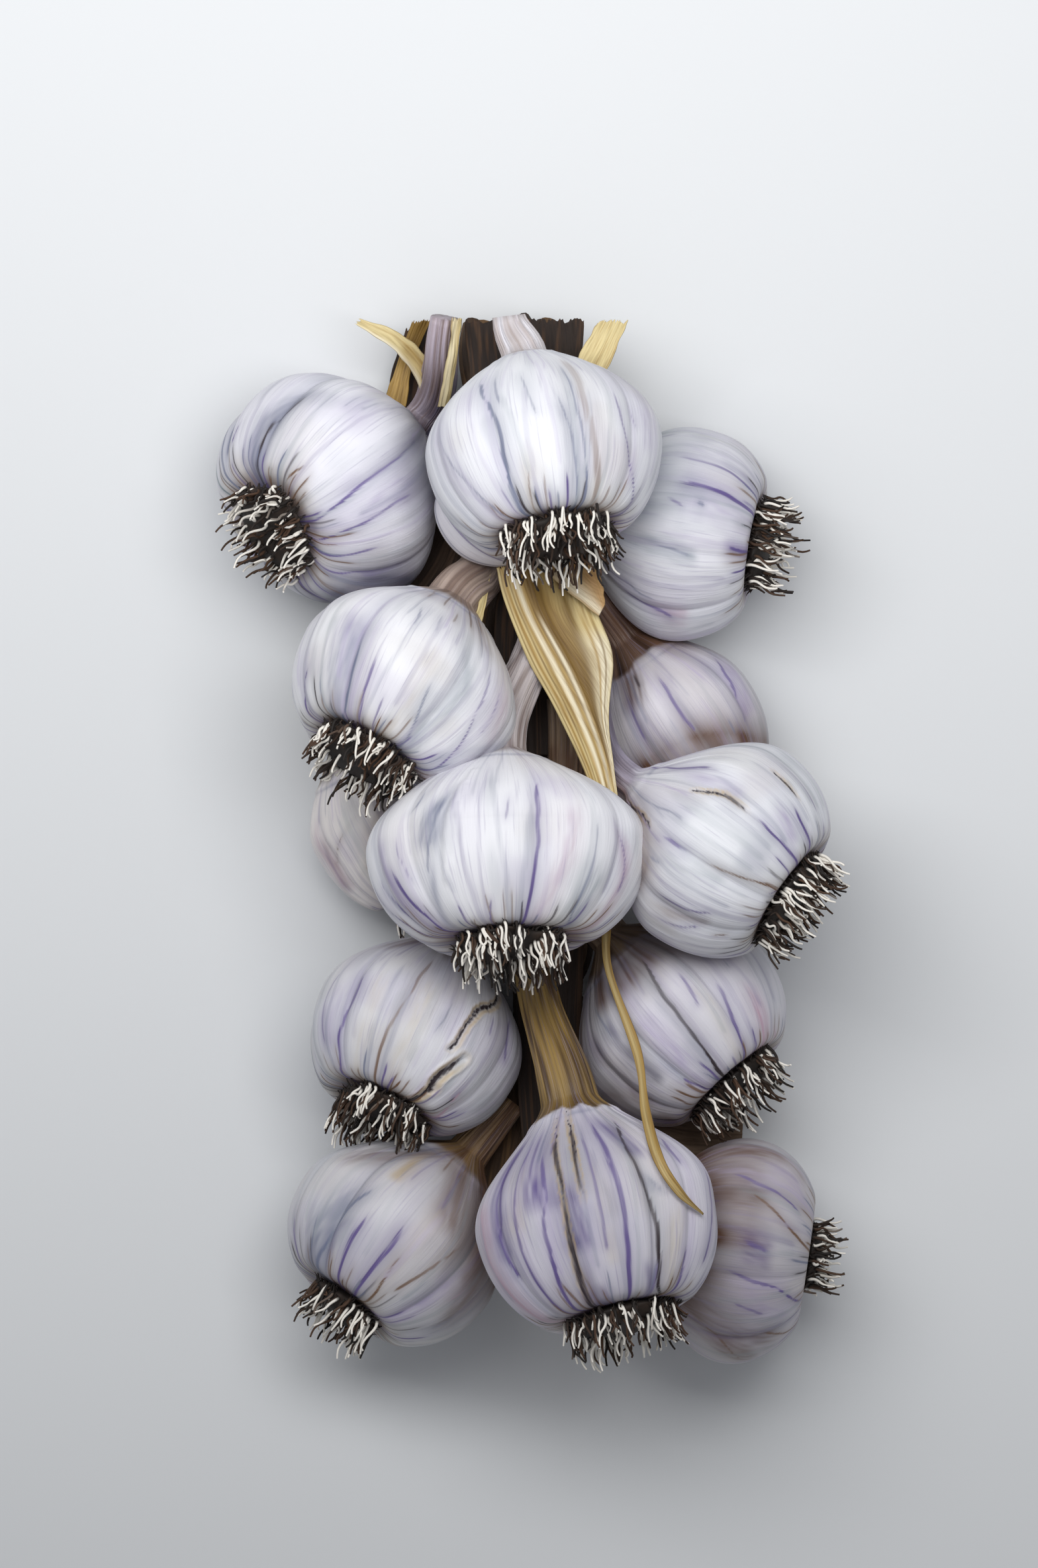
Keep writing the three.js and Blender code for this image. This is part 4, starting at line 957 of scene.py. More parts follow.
def paint(name, angle, along):
    """The skin's paper colour, how near each place is to a vein, and the vein's ink."""
    head = HEADS[name]
    seed = 1000 + 100 * list(HEADS).index(name)
    paper = bare_paper(name, angle, along, seed)
    near = np.zeros(angle.shape)
    ink = np.broadcast_to(coloured(TONES["violet"]), angle.shape + (4,)).copy()
    thinner = 0.4 + 0.6 * ring_at(head, along)[0] / head["radius"]
    for number, (tone, width, strength, line) in enumerate(VEINS[name] + fine_veins(seed)):
        is_wash = width >= WASH_WIDTH
        fade = WASH_FADE * width if is_wash else VEIN_FADE
        across, inside = beside(head, line, angle, along, VEIN_WOBBLE, seed + number, fade)
        hill = inside * smooth_hill(across, width * thinner)
        if is_wash:
            patches = waves(angle + 9 * across, 3 * along + 2, 40, seed + 200 + number)
            paper = mixed(paper, TONES[tone], strength * hill * (0.85 + 0.45 * patches))
            continue
        halo = inside * smooth_hill(across, HALO_WIDTH * width * thinner)
        paper = mixed(paper, TONES[tone], HALO_STRENGTH * strength * halo)
        darker = np.clip(strength * (0.85 + 0.5 * smooth(-0.2, -0.85, along)), 0, 1)
        vein_ink = np.concatenate([np.broadcast_to(TONES[tone], paper.shape), darker[..., None]], -1)
        near, ink = inked(near, ink, hill, vein_ink)
    for number, (depth, width, line) in enumerate(SPLITS.get(name, [])):
        if depth > 0:
            away, inside = beside_crack(head, line, angle, along, CRACK_SEED + number)
            rim = inside * smooth_hill(away - 0.7 * width, 0.6 * width)
            paper = mixed(paper, TONES["ochre"], 0.7 * rim)
            # Painted shade: the groove is inked dark.
            groove = crack_groove(away, inside, width)
            near, ink = inked(near, ink, groove, np.append(TONES["dark"], 1.0))
    return (*with_stalk(name, angle, along, seed, paper, near), ink)


print("rows drawn on the top head:", len(VEINS["top"] + fine_veins(0)))

# %% Tools for meshes


def mesh_piece(name, points, faces, material):
    """A smooth mesh object from points in mm, with its faces turned outwards."""
    points = (np.asarray(points) + CENTRING) * MM
    corners = points[np.array([face[:3] for face in faces])]
    volume = np.einsum("ij,ij->i", corners[:, 0], np.cross(corners[:, 1], corners[:, 2])).sum()
    if volume < 0:
        faces = [face[::-1] for face in faces]
    mesh = bpy.data.meshes.new(name)
    mesh.from_pydata(points.tolist(), [], faces)
    mesh.shade_smooth()
    mesh.materials.append(material)
    piece = bpy.data.objects.new(name, mesh)
    bpy.context.scene.collection.objects.link(piece)
    return piece


def keep(piece, label, values):
    """Keeps a value, colour or vector for each point of a mesh, for its finish to read."""
    kinds = {0: ("FLOAT", "value"), 3: ("FLOAT_VECTOR", "vector"), 4: ("FLOAT_COLOR", "color")}
    values = np.asarray(values, np.float32)
    kind, field = kinds[values.shape[1] if values.ndim > 1 else 0]
    attribute = piece.data.attributes.new(label, kind, "POINT")
    attribute.data.foreach_set(field, values.ravel())


def angles_round(count):
    """Angles in degrees, spread evenly round a tube."""
    return np.arange(count) * 360 / count


def tube_points(rings):
    """The points of a tube's rings, and one more to close each end."""
    return np.concatenate([rings.reshape(-1, 3), [rings[0].mean(0), rings[-1].mean(0)]])


def tube_faces(rows, columns):
    """Faces of rings joined into a tube, for the points that tube_points gives."""
    index = np.arange(rows * columns).reshape(rows, columns)
    right = np.roll(index, -1, axis=1)
    sides = np.stack([index[:-1], right[:-1], right[1:], index[1:]], -1).reshape(-1, 4)
    first, last = rows * columns, rows * columns + 1
    caps = [(right[0, i], index[0, i], first) for i in range(columns)]
    caps += [(index[-1, i], right[-1, i], last) for i in range(columns)]
    return sides.tolist() + [[int(i) for i in cap] for cap in caps]


def keep_skin(piece, angle, run, paper, near, ink):
    """Keeps all that a skin's finish reads, on a tube and its two closing points."""
    turn = np.radians(angle)
    grain = np.stack([np.cos(turn), np.sin(turn), run], -1)
    for label, values in (("paper", coloured(paper)), ("ink", ink), ("grain", grain)):
        flat = values.reshape(-1, values.shape[-1])
        keep(piece, label, np.concatenate([flat, flat[[0, -1]]]))
    keep(piece, "near vein", np.concatenate([near.ravel(), [0, 0]]))


print("faces of a small tube:", len(tube_faces(3, 6)))

# %% [markdown]
# ## Finishes
# All these surfaces are dried plant fibre, so they share one effect, fine long fibres,
# as a shader group. It reads a vector kept on each piece's points: two parts turn round
# the piece and the third runs along it, so the fibres follow any bend and meet
# themselves without a seam.

# %% Tools for finishes


def node(tree, kind, **settings):
    """A new node in a tree, with its settings."""
    made = tree.nodes.new(kind)
    for label, value in settings.items():
        setattr(made, label, value)
    return made


def give(tree, socket, source):
    """Links an input to a socket where one is given, or sets it to a value."""
    if isinstance(source, bpy.types.NodeSocket):
        tree.links.new(source, socket)
    else:
        socket.default_value = source


def fill(tree, target, **sources):
    """Gives a node's inputs, by name, what they read."""
    for label, source in sources.items():
        give(tree, target.inputs[label.replace("_", " ")], source)


def maths(tree, operation, *values):
    """A math node's result."""
    made = node(tree, "ShaderNodeMath", operation=operation)
    for socket, value in zip(made.inputs, values):
        give(tree, socket, value)
    return made.outputs[0]


def ramp(tree, value, low, high):
    """0 below low, 1 above high, with an easy climb between."""
    made = node(tree, "ShaderNodeMapRange", interpolation_type="SMOOTHSTEP")
    fill(tree, made, Value=value, From_Min=low, From_Max=high)
    return made.outputs["Result"]


def blend_colours(tree, amount, first, second, blend="MIX"):
    """A mix of two colours, or a product of them."""
    made = node(tree, "ShaderNodeMix", data_type="RGBA", blend_type=blend)
    for number, value in ((0, amount), (6, first), (7, second)):  # its colour sockets
        give(tree, made.inputs[number], value)
    return made.outputs[2]


print("tools for finishes:", ", ".join(tool.__name__ for tool in (fill, maths, ramp, blend_colours)))

# %% Dry fibres, the effect that the finishes share
fibres_group = bpy.data.node_groups.new("dry fibres", "ShaderNodeTree")
for label, default in (("Crowding", 14.0), ("Length", 1.5), ("Seed", 0.0)):
    socket = fibres_group.interface.new_socket(label, in_out="INPUT", socket_type="NodeSocketFloat")
    socket.default_value = default
fibres_group.interface.new_socket("Fibres", in_out="OUTPUT", socket_type="NodeSocketFloat")


def fill_fibres_group(tree):
    """Noise drawn out along the piece, as a value from 0 to 1."""
    size = node(tree, "NodeGroupInput").outputs
    place = node(tree, "ShaderNodeAttribute", attribute_name="grain")
    stretch = node(tree, "ShaderNodeCombineXYZ")
    fill(tree, stretch, X=size["Crowding"], Y=size["Crowding"], Z=size["Length"])
    scaled = node(tree, "ShaderNodeVectorMath", operation="MULTIPLY")
    tree.links.new(place.outputs["Vector"], scaled.inputs[0])
    tree.links.new(stretch.outputs[0], scaled.inputs[1])
    noise = node(tree, "ShaderNodeTexNoise", noise_dimensions="4D")
    fill(tree, noise, Vector=scaled.outputs[0], W=size["Seed"], Scale=1.0, Detail=3.0)
    result = node(tree, "NodeGroupOutput")
    tree.links.new(noise.outputs[0], result.inputs["Fibres"])


fill_fibres_group(fibres_group)


def fibres(tree, crowding, length, seed=0.0):
    """The shared effect, placed in a material."""
    made = node(tree, "ShaderNodeGroup", node_tree=fibres_group)
    fill(tree, made, Crowding=crowding, Length=length, Seed=seed)
    return made.outputs["Fibres"]


def relief_of(tree, height, depth_mm, strength):
    """A bump's normal for a height from 0 to 1."""
    made = node(tree, "ShaderNodeBump")
    fill(tree, made, Height=height, Distance=depth_mm * MM, Strength=strength)
    return made.outputs["Normal"]


def kept(tree, label, output="Color"):
    """What a piece keeps on its points under this label."""
    return node(tree, "ShaderNodeAttribute", attribute_name=label).outputs[output]


print("shared effect:", fibres_group.name)

# %% Papery skin
VEIN_EDGE = 1.1  # how ragged the fibres make a vein's edges
FINE_VEIN = (*srgb(150, 144, 172), 1)


def skin_finish(name, fine_veins, roughness):
    """Dry papery skin: its paper colour, ragged veins, and a net of fine ones."""
    material = plain_finish(name, (0.8, 0.8, 0.8), roughness)
    tree = material.node_tree
    shader = tree.nodes["Principled BSDF"]
    broad = fibres(tree, 13.0, 1.3)
    fine = fibres(tree, 44.0, 1.8, 3.0)
    ragged = maths(tree, "MULTIPLY_ADD", maths(tree, "SUBTRACT", fine, 0.5), VEIN_EDGE, 1.0)
    near = maths(tree, "MULTIPLY", kept(tree, "near vein", "Fac"), ragged)
    core = ramp(tree, near, 0.45, 0.95)
    mask = maths(tree, "MULTIPLY_ADD", core, 0.82, maths(tree, "MULTIPLY", near, 0.18))
    mask = maths(tree, "MULTIPLY", mask, kept(tree, "ink", "Alpha"))
    net = maths(tree, "MULTIPLY", ramp(tree, fine, 0.54, 0.70), fine_veins)
    skin = blend_colours(tree, net, kept(tree, "paper"), FINE_VEIN)
    skin = blend_colours(tree, mask, skin, kept(tree, "ink"))
    height = maths(tree, "MULTIPLY_ADD", broad, 0.7, maths(tree, "MULTIPLY", fine, 0.5))
    fill(tree, shader, Base_Color=skin, Normal=relief_of(tree, height, 0.35, 0.6))
    rough = node(tree, "ShaderNodeMapRange")
    fill(tree, rough, Value=broad, To_Min=roughness - 0.1, To_Max=roughness + 0.12)
    fill(tree, shader, Roughness=rough.outputs["Result"])
    return material


WHITE_SKIN = skin_finish("white papery skin", 0.30, 0.52)
VIOLET_SKIN = skin_finish("violet papery skin", 0.45, 0.5)
print("skins:", WHITE_SKIN.name, "and", VIOLET_SKIN.name)

# %% Make the heads
COLUMNS, SMALL_COLUMNS, SMALL_RADIUS = 360, 240, 22  # small heads need fewer columns
ROOT_ROWS, NECK_ROWS, STALK_ROW = 36, 52, 1.5  # the last is a length in mm
FINER = {"lower_left": 1.5}  # the cracked head needs a closer grid
STANDS_HIGHER = 2  # mm by which a neighbour's middle has to be over this one's


def tucked(name, points, reach):
    """Where painted shade goes: 1 where the skin lies under a neighbour that stands higher, falling to 0
    beside it.
    """
    nearest = np.full(points.shape[:-1], FAR)
    for head in HEADS.values():
        if head["at"][2] > HEADS[name]["at"][2] + STANDS_HIGHER:
            axis = direction(*head["faces"])
            off = (points - np.array(head["at"])) * (1, 1, 0)  # measured in plan
            down = off @ axis
            out = np.linalg.norm(off - down[..., None] * axis, axis=-1)
            half = np.where(down > 0, head["low"], head["high"])
            share = np.hypot(down / half, out / head["radius"])
            nearest = np.minimum(nearest, (share - 1) * head["radius"])
    return np.exp(-np.maximum(nearest, 0) / reach)


def make_head(name):
    """One finished head with its stalk."""
    head = HEADS[name]
    finer = FINER.get(name, 1.0)
    columns = int(COLUMNS * finer) if head["radius"] > SMALL_RADIUS else SMALL_COLUMNS
    length = head["stalk_run"][-1]
    root_side = -np.cos(np.linspace(0, math.pi / 2, int(ROOT_ROWS * finer)))
    neck_side = np.linspace(0, 1, int(NECK_ROWS * finer))[1:]
    stalk = 1 + np.linspace(0, length, max(4, int(length / STALK_ROW)))[1:] / head["high"]
    shares = np.concatenate([root_side, neck_side, stalk])
    along, angle = np.meshgrid(shares, angles_round(columns) - 90, indexing="ij")
    rings = skin_point(head, angle, along, relief(name, angle, along))
    points = tube_points(rings)
    points[:, 2] = np.maximum(points[:, 2], -CENTRING[2])  # nothing goes through the table
    material = VIOLET_SKIN if name == "bottom" else WHITE_SKIN
    piece = mesh_piece(f"garlic_{name}", points, tube_faces(*along.shape), material)
    paper, near, ink = paint(name, angle, along)
    # Painted shade: the skin is darkened in streaks where it lies under a higher neighbour.
    tone, strength, reach = SHADE_UNDER_NEIGHBOURS.get(name, FAINT_SHADE_UNDER_NEIGHBOURS)
    streaks = strength * (0.85 + 0.35 * waves(angle, along, 34, 77))
    paper = mixed(paper, TONES[tone], streaks * tucked(name, rings, reach))
    keep_skin(piece, angle, along, paper, near, ink)
    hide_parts(f"head_{name}")
    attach(piece, "root")
    return piece


for name in HEADS:
    made = make_head(name)
    print(made.name, len(made.data.polygons), "faces")

# %% [markdown]
# ## The loose outer clove
# One clove has come away from the top head and shows beside its roots. It is an egg,
# drawn in at its root end, so it is lathed round its own axis and wears the same skin.

# %% Make the outer clove
CLOVE_AT, CLOVE_RADIUS, CLOVE_LONG, CLOVE_TURNED = (-14, 76, 42), 9.2, 1.4, -44
CLOVE_ROWS, CLOVE_COLUMNS = 60, 160
CLOVE_VEIN_WIDTH = 1.1
CLOVE_VEINS = [(20, "slate", 0.6), (55, "violet", 0.7), (78, "brown", 0.7), (100, "slate", 0.6),
               (124, "violet", 0.6), (150, "brown", 0.8)]  # angle, tone and strength


def make_clove():
    """The outer clove of the top head."""
    axis = direction(CLOVE_TURNED, 0)
    side, over = square_to(axis)
    tilts = np.linspace(-88, 88, CLOVE_ROWS)
    tilt, angle = np.meshgrid(tilts, angles_round(CLOVE_COLUMNS), indexing="ij")
    height = CLOVE_RADIUS * np.sin(np.radians(tilt))
    pointed = 1 - 0.25 * np.maximum(0, height / CLOVE_RADIUS) ** 2
    across = CLOVE_RADIUS * np.cos(np.radians(tilt)) * pointed
    across = across * (1 + 0.02 * waves(angle, height * 0, 30, 7))
    across = across + 0.08 * waves(angle, height * 0, 70, 8)
    turn = np.radians(angle)
    rings = (np.array(CLOVE_AT) + axis * (height * CLOVE_LONG)[..., None]
             + side * (across * np.cos(turn))[..., None] + over * (across * np.sin(turn))[..., None])
    piece = mesh_piece("garlic_clove_top", tube_points(rings), tube_faces(*angle.shape), WHITE_SKIN)
    paper = np.broadcast_to(srgb(222, 220, 226), angle.shape + (3,)).copy()
    paper = mixed(paper, TONES["brown"], 0.6 * smooth(45, 85, tilt))
    near = np.zeros(angle.shape)
    ink = np.broadcast_to(coloured(TONES["slate"]), angle.shape + (4,))
    for at, tone, strength in CLOVE_VEINS:
        hill = smooth_hill(np.radians(turned_from(at, angle)) * across, CLOVE_VEIN_WIDTH)
        near, ink = inked(near, ink, hill, np.append(TONES[tone], strength))
    keep_skin(piece, angle, height / CLOVE_RADIUS, paper, near, ink)
    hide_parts("clove_top")
    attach(piece, "root")
    return piece


print(make_clove().name)

# %% [markdown]
# ## Trimmed roots
# Under each head is a dark crown of old root bases, and out of it grow dry rootlets, cut
# short. They could be drawn one by one, but there are hundreds, so a Geometry Nodes tree
# scatters points over a small dark core, stands a curve on each, bends it at random and
# gives it a round section that thins towards its cut end. The core keeps two things on its
# points for the tree to read: which way roots lie there, and how many sprout there.

# %% Tools for Geometry Nodes


def nodes_tree(name, **sizes):
    """A Geometry Nodes tree with a mesh each way and inputs named for its sizes."""
    tree = bpy.data.node_groups.new(name, "GeometryNodeTree")
    tree.interface.new_socket("Mesh", in_out="INPUT", socket_type="NodeSocketGeometry")
    tree.interface.new_socket("Mesh", in_out="OUTPUT", socket_type="NodeSocketGeometry")
    for label, kind in sizes.items():
        tree.interface.new_socket(label, in_out="INPUT", socket_type=f"NodeSocket{kind}")
    return tree, node(tree, "NodeGroupInput").outputs, node(tree, "NodeGroupOutput").inputs["Mesh"]


def named(tree, label, data_type="FLOAT"):
    """A value that the points keep under this label."""
    made = node(tree, "GeometryNodeInputNamedAttribute", data_type=data_type)
    made.inputs["Name"].default_value = label
    return made.outputs["Attribute"]


def store(tree, geometry, label, value, data_type="FLOAT", domain="POINT"):
    """Keeps a value under a label on each point or instance."""
    made = node(tree, "GeometryNodeStoreNamedAttribute", data_type=data_type, domain=domain)
    fill(tree, made, Geometry=geometry, Name=label, Value=value)
    return made.outputs["Geometry"]


def random_value(tree, low, high, seed, data_type="FLOAT"):
    """A random number or vector for each point."""
    made = node(tree, "FunctionNodeRandomValue", data_type=data_type)
    first = 0 if data_type == "FLOAT_VECTOR" else 2
    made.inputs[first].default_value = low
    made.inputs[first + 1].default_value = high
    tree.links.new(seed, made.inputs["Seed"])
    return made.outputs[0 if data_type == "FLOAT_VECTOR" else 1]


def vectors(tree, operation, first, second):
    """A vector math node's result; the second value may be a scale."""
    made = node(tree, "ShaderNodeVectorMath", operation=operation)
    tree.links.new(first, made.inputs[0])
    tree.links.new(second, made.inputs["Scale" if operation == "SCALE" else 1])
    return made.outputs[0]


def end_tree(tree, geometry, material, result):
    """The end of a tree: real meshes, with their material set."""
    real = node(tree, "GeometryNodeRealizeInstances")
    tree.links.new(geometry, real.inputs[0])
    finished = node(tree, "GeometryNodeSetMaterial")
    fill(tree, finished, Geometry=real.outputs[0], Material=material)
    tree.links.new(finished.outputs[0], result)


def tubes(tree, lines, profile, thickness):
    """Lines given a section, which a thickness scales at each point."""
    skin = node(tree, "GeometryNodeCurveToMesh")
    fill(tree, skin, Curve=lines, Profile_Curve=profile, Scale=thickness, Fill_Caps=True)
    return skin.outputs[0]


def grow(piece, tree, **values):
    """Runs a tree on a piece and keeps the result as its plain mesh."""
    modifier = piece.modifiers.new(tree.name, "NODES")
    modifier.node_group = tree
    for item in tree.interface.items_tree:
        if item.in_out == "INPUT" and item.name in values:
            modifier[item.identifier] = values[item.name]
    depsgraph = bpy.context.evaluated_depsgraph_get()
    grown = bpy.data.meshes.new_from_object(piece.evaluated_get(depsgraph), depsgraph=depsgraph)
    piece.modifiers.remove(modifier)
    piece.data = grown


print("tools for trees:", ", ".join(tool.__name__ for tool in (nodes_tree, store, end_tree, grow)))

# %% The rootlets' tree
ROOTLET_RINGS = 10
ROOTLET_SIDES = 6
ROOTLET_SCALES = (0.55, 1.15)  # their lengths, over the length that is asked for
SWINGS, SWING_SHARE = 6.5, 0.34  # how a rootlet snakes: radians along it, and over its curl
SWING_TURNED = 1.8  # radians between the way it hooks and the way it snakes


def rootlets_tree(name):
    """Scatters bent, thinning rootlets over a core and joins them to it. The core keeps
    the way they lie, and how many sprout where, under this name."""
    tree, size, result = nodes_tree(name, Length="Float", Thickness="Float", Taper="Float", Pale="Float",
                                    Density="Float", Curl="Float", Seed="Int", Material="Material")
    scatter = node(tree, "GeometryNodeDistributePointsOnFaces", distribute_method="RANDOM")
    sprouting = maths(tree, "MULTIPLY", size["Density"], named(tree, name + " sprout"))
    fill(tree, scatter, Mesh=size["Mesh"], Density=sprouting, Seed=size["Seed"])
    lie = node(tree, "FunctionNodeAlignRotationToVector", axis="Z")
    fill(tree, lie, Vector=named(tree, name + " lie", "FLOAT_VECTOR"))
    seeds = [maths(tree, "ADD", size["Seed"], i * 1000.0) for i in range(1, 4)]

    line = node(tree, "GeometryNodeCurvePrimitiveLine")
    end = node(tree, "ShaderNodeCombineXYZ")
    fill(tree, end, Z=size["Length"])
    fill(tree, line, End=end.outputs[0])
    ringed = node(tree, "GeometryNodeResampleCurve")
    fill(tree, ringed, Curve=line.outputs[0], Count=ROOTLET_RINGS)
    share = node(tree, "GeometryNodeSplineParameter").outputs["Factor"]
    rootlet = store(tree, ringed.outputs[0], "share", share)

    stand = node(tree, "GeometryNodeInstanceOnPoints")
    fill(tree, stand, Points=scatter.outputs["Points"], Instance=rootlet, Rotation=lie.outputs[0])
    tree.links.new(random_value(tree, *ROOTLET_SCALES, seeds[0]), stand.inputs["Scale"])
    leaning = random_value(tree, (-1, -1, -1), (1, 1, 1), seeds[1], "FLOAT_VECTOR")
    toned = store(tree, stand.outputs[0], "lean", leaning, "FLOAT_VECTOR", "INSTANCE")
    tone = maths(tree, "MULTIPLY", random_value(tree, 0.0, 1.0, seeds[2]), size["Pale"])
    toned = store(tree, toned, "tone", tone, "FLOAT", "INSTANCE")
    loose = node(tree, "GeometryNodeRealizeInstances")
    tree.links.new(toned, loose.inputs[0])

    along, lean = named(tree, "share"), named(tree, "lean", "FLOAT_VECTOR")
    hook = maths(tree, "MULTIPLY", maths(tree, "POWER", along, 2.0), size["Curl"])
    swing = maths(tree, "SINE", maths(tree, "MULTIPLY", along, SWINGS))
    swing = maths(tree, "MULTIPLY", maths(tree, "MULTIPLY", swing, SWING_SHARE), size["Curl"])
    turned = node(tree, "ShaderNodeVectorRotate", rotation_type="Z_AXIS")
    fill(tree, turned, Vector=lean, Angle=SWING_TURNED)
    offset = vectors(tree, "ADD", vectors(tree, "SCALE", lean, hook),
                     vectors(tree, "SCALE", turned.outputs[0], swing))
    bent = node(tree, "GeometryNodeSetPosition")
    fill(tree, bent, Geometry=loose.outputs[0], Offset=offset)

    thinning = maths(tree, "SUBTRACT", 1.0, maths(tree, "MULTIPLY", along, size["Taper"]))
    thickness = maths(tree, "MULTIPLY", thinning, size["Thickness"])
    ring = node(tree, "GeometryNodeCurvePrimitiveCircle")
    fill(tree, ring, Resolution=ROOTLET_SIDES, Radius=1.0)
    smoothed = node(tree, "GeometryNodeSetShadeSmooth")
    fill(tree, smoothed, Geometry=tubes(tree, bent.outputs[0], ring.outputs[0], thickness))
    joined = node(tree, "GeometryNodeJoinGeometry")
    tree.links.new(smoothed.outputs[0], joined.inputs[0])
    tree.links.new(size["Mesh"], joined.inputs[0])
    end_tree(tree, joined.outputs[0], size["Material"], result)
    return tree


ROOTLETS, SPIKES = rootlets_tree("rootlets"), rootlets_tree("spikes")
print("trees:", ROOTLETS.name, "and", SPIKES.name, len(ROOTLETS.nodes), "nodes")

# %% Dry roots
ROOT_CREAM = (*srgb(238, 233, 224), 1)
ROOT_BROWN = (*srgb(72, 49, 32), 1)
ROOT_BLACK = (*srgb(24, 16, 11), 1)


def roots_finish():
    """Cream or brown rootlets, each dark at its base, on a nearly black core."""
    material = plain_finish("dry roots", (0.4, 0.3, 0.2), 0.75)
    tree = material.node_tree
    shader = tree.nodes["Principled BSDF"]
    tone, along = kept(tree, "tone", "Fac"), kept(tree, "share", "Fac")
    dark = blend_colours(tree, ramp(tree, tone, 0.05, 0.45), ROOT_BLACK, ROOT_BROWN)
    pale = blend_colours(tree, ramp(tree, tone, 0.46, 0.52), dark, ROOT_CREAM)
    colour = blend_colours(tree, ramp(tree, along, 0.0, 0.14), ROOT_BLACK, pale)
    fill(tree, shader, Base_Color=colour)
    return material


DRY_ROOTS = roots_finish()
print("finish:", DRY_ROOTS.name)

# %% Make the roots
ROOT_LENGTH = 7.4
SHORT_ROOTS = {"bottom_right": 6.2}  # the head whose roots are trimmed closer
# The core's outline: its radius over the root plate's, and its height in mm.
CORE_PROFILE = [(0.74, -0.6), (0.94, 0.9), (0.96, 1.8), (0.84, 3.0), (0.60, 3.9), (0.28, 4.3)]
CORE_SIDES = 72
CUT_LENGTH = 0.98  # of a rootlet, over the tuft's length
ROOTLET_SIZES = dict(Thickness=0.40 * MM, Taper=0.45, Pale=0.88, Density=200000.0, Curl=1.8 * MM)
SPIKE_SIZES = dict(Length=2.7 * MM, Thickness=0.38 * MM, Taper=0.9, Pale=0.2, Density=520000.0,
                   Curl=0.8 * MM)


def make_roots(name):
    """The crown and rootlets of one head."""
    head = HEADS[name]
    seed = 10 + list(HEADS).index(name)
    axis = direction(*head["faces"])
    side, over = square_to(axis)
    foot = np.array(head["at"]) + axis * (head["low"] - DIMPLE + GAP)
    length = SHORT_ROOTS.get(name, ROOT_LENGTH)
    profile = smooth_path(CORE_PROFILE, np.linspace(0, 1, 14))
    height, angle = np.meshgrid(profile[:, 1], angles_round(CORE_SIDES), indexing="ij")
    radius = np.broadcast_to(profile[:, :1], angle.shape) * head["plate"]
    rim = smooth(0.1, 1.2, height) * smooth(3.0, 1.7, height)
    ragged = 0.07 * waves(angle, 0.0, 9, seed) + 0.14 * rim * np.abs(waves(angle, 0.0, 30, seed + 1))
    ragged = ragged + 0.07 * waves(angle, height / 3 - 1, 20, seed + 2)
    radius = radius * (1 + ragged)
    height = height * (length / ROOT_LENGTH) * (1 + 0.12 * waves(angle, 0.0, 7, seed + 3))
    turn = np.radians(angle)
    outwards = side * np.cos(turn)[..., None] + over * np.sin(turn)[..., None]
    rings = foot + axis * height[..., None] + outwards * radius[..., None]
    core = mesh_piece(f"garlic_roots_{name}", tube_points(rings), tube_faces(*angle.shape), DRY_ROOTS)
    swirl = np.cross(axis, outwards) * (0.4 * waves(angle, 0.0, 15, seed + 4))[..., None]
    lie = unit(axis + swirl + outwards * (0.04 + 0.16 * smooth(1.5, 4, height))[..., None])
    back = unit(outwards - 0.75 * axis + 0.6 * swirl)
    crowding = smooth(0.1, 1.0, height) * (1 - 0.5 * smooth(2.6, 4.0, height))
    for label, values in (("rootlets lie", lie), ("spikes lie", back)):
        keep(core, label, np.concatenate([values.reshape(-1, 3), [axis, axis]]))
    for label, values, cap in (("rootlets sprout", crowding, 0.5), ("spikes sprout", rim, 0)):
        keep(core, label, np.concatenate([values.ravel(), [0, cap]]))
    tone = 0.1 + 0.15 * waves(angle, height / 5 - 1, 20, seed)
    keep(core, "tone", np.concatenate([tone.ravel(), [0, 0]]))
    keep(core, "share", np.full(angle.size + 2, 1.0))
    grow(core, SPIKES, Seed=seed + 40, Material=DRY_ROOTS, **SPIKE_SIZES)
    grow(core, ROOTLETS, Length=length * CUT_LENGTH * MM, Seed=seed, Material=DRY_ROOTS,
         **ROOTLET_SIZES)
    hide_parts(f"roots_{name}")
    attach(core, "root")
    return core


for name in HEADS:
    made = make_roots(name)
    print(made.name, len(made.data.polygons), "faces")

# %% [markdown]
# ## Dry leaves
# The braid is padded with its own dried leaves. A leaf is a thin strip between two edge
# lines, sometimes with the ridge of a fold between them. It could be a plane with
# Solidify, but its veins are raised and its edges wave, so its grid is built point by
# point: an upper and a lower side, joined round the rim.

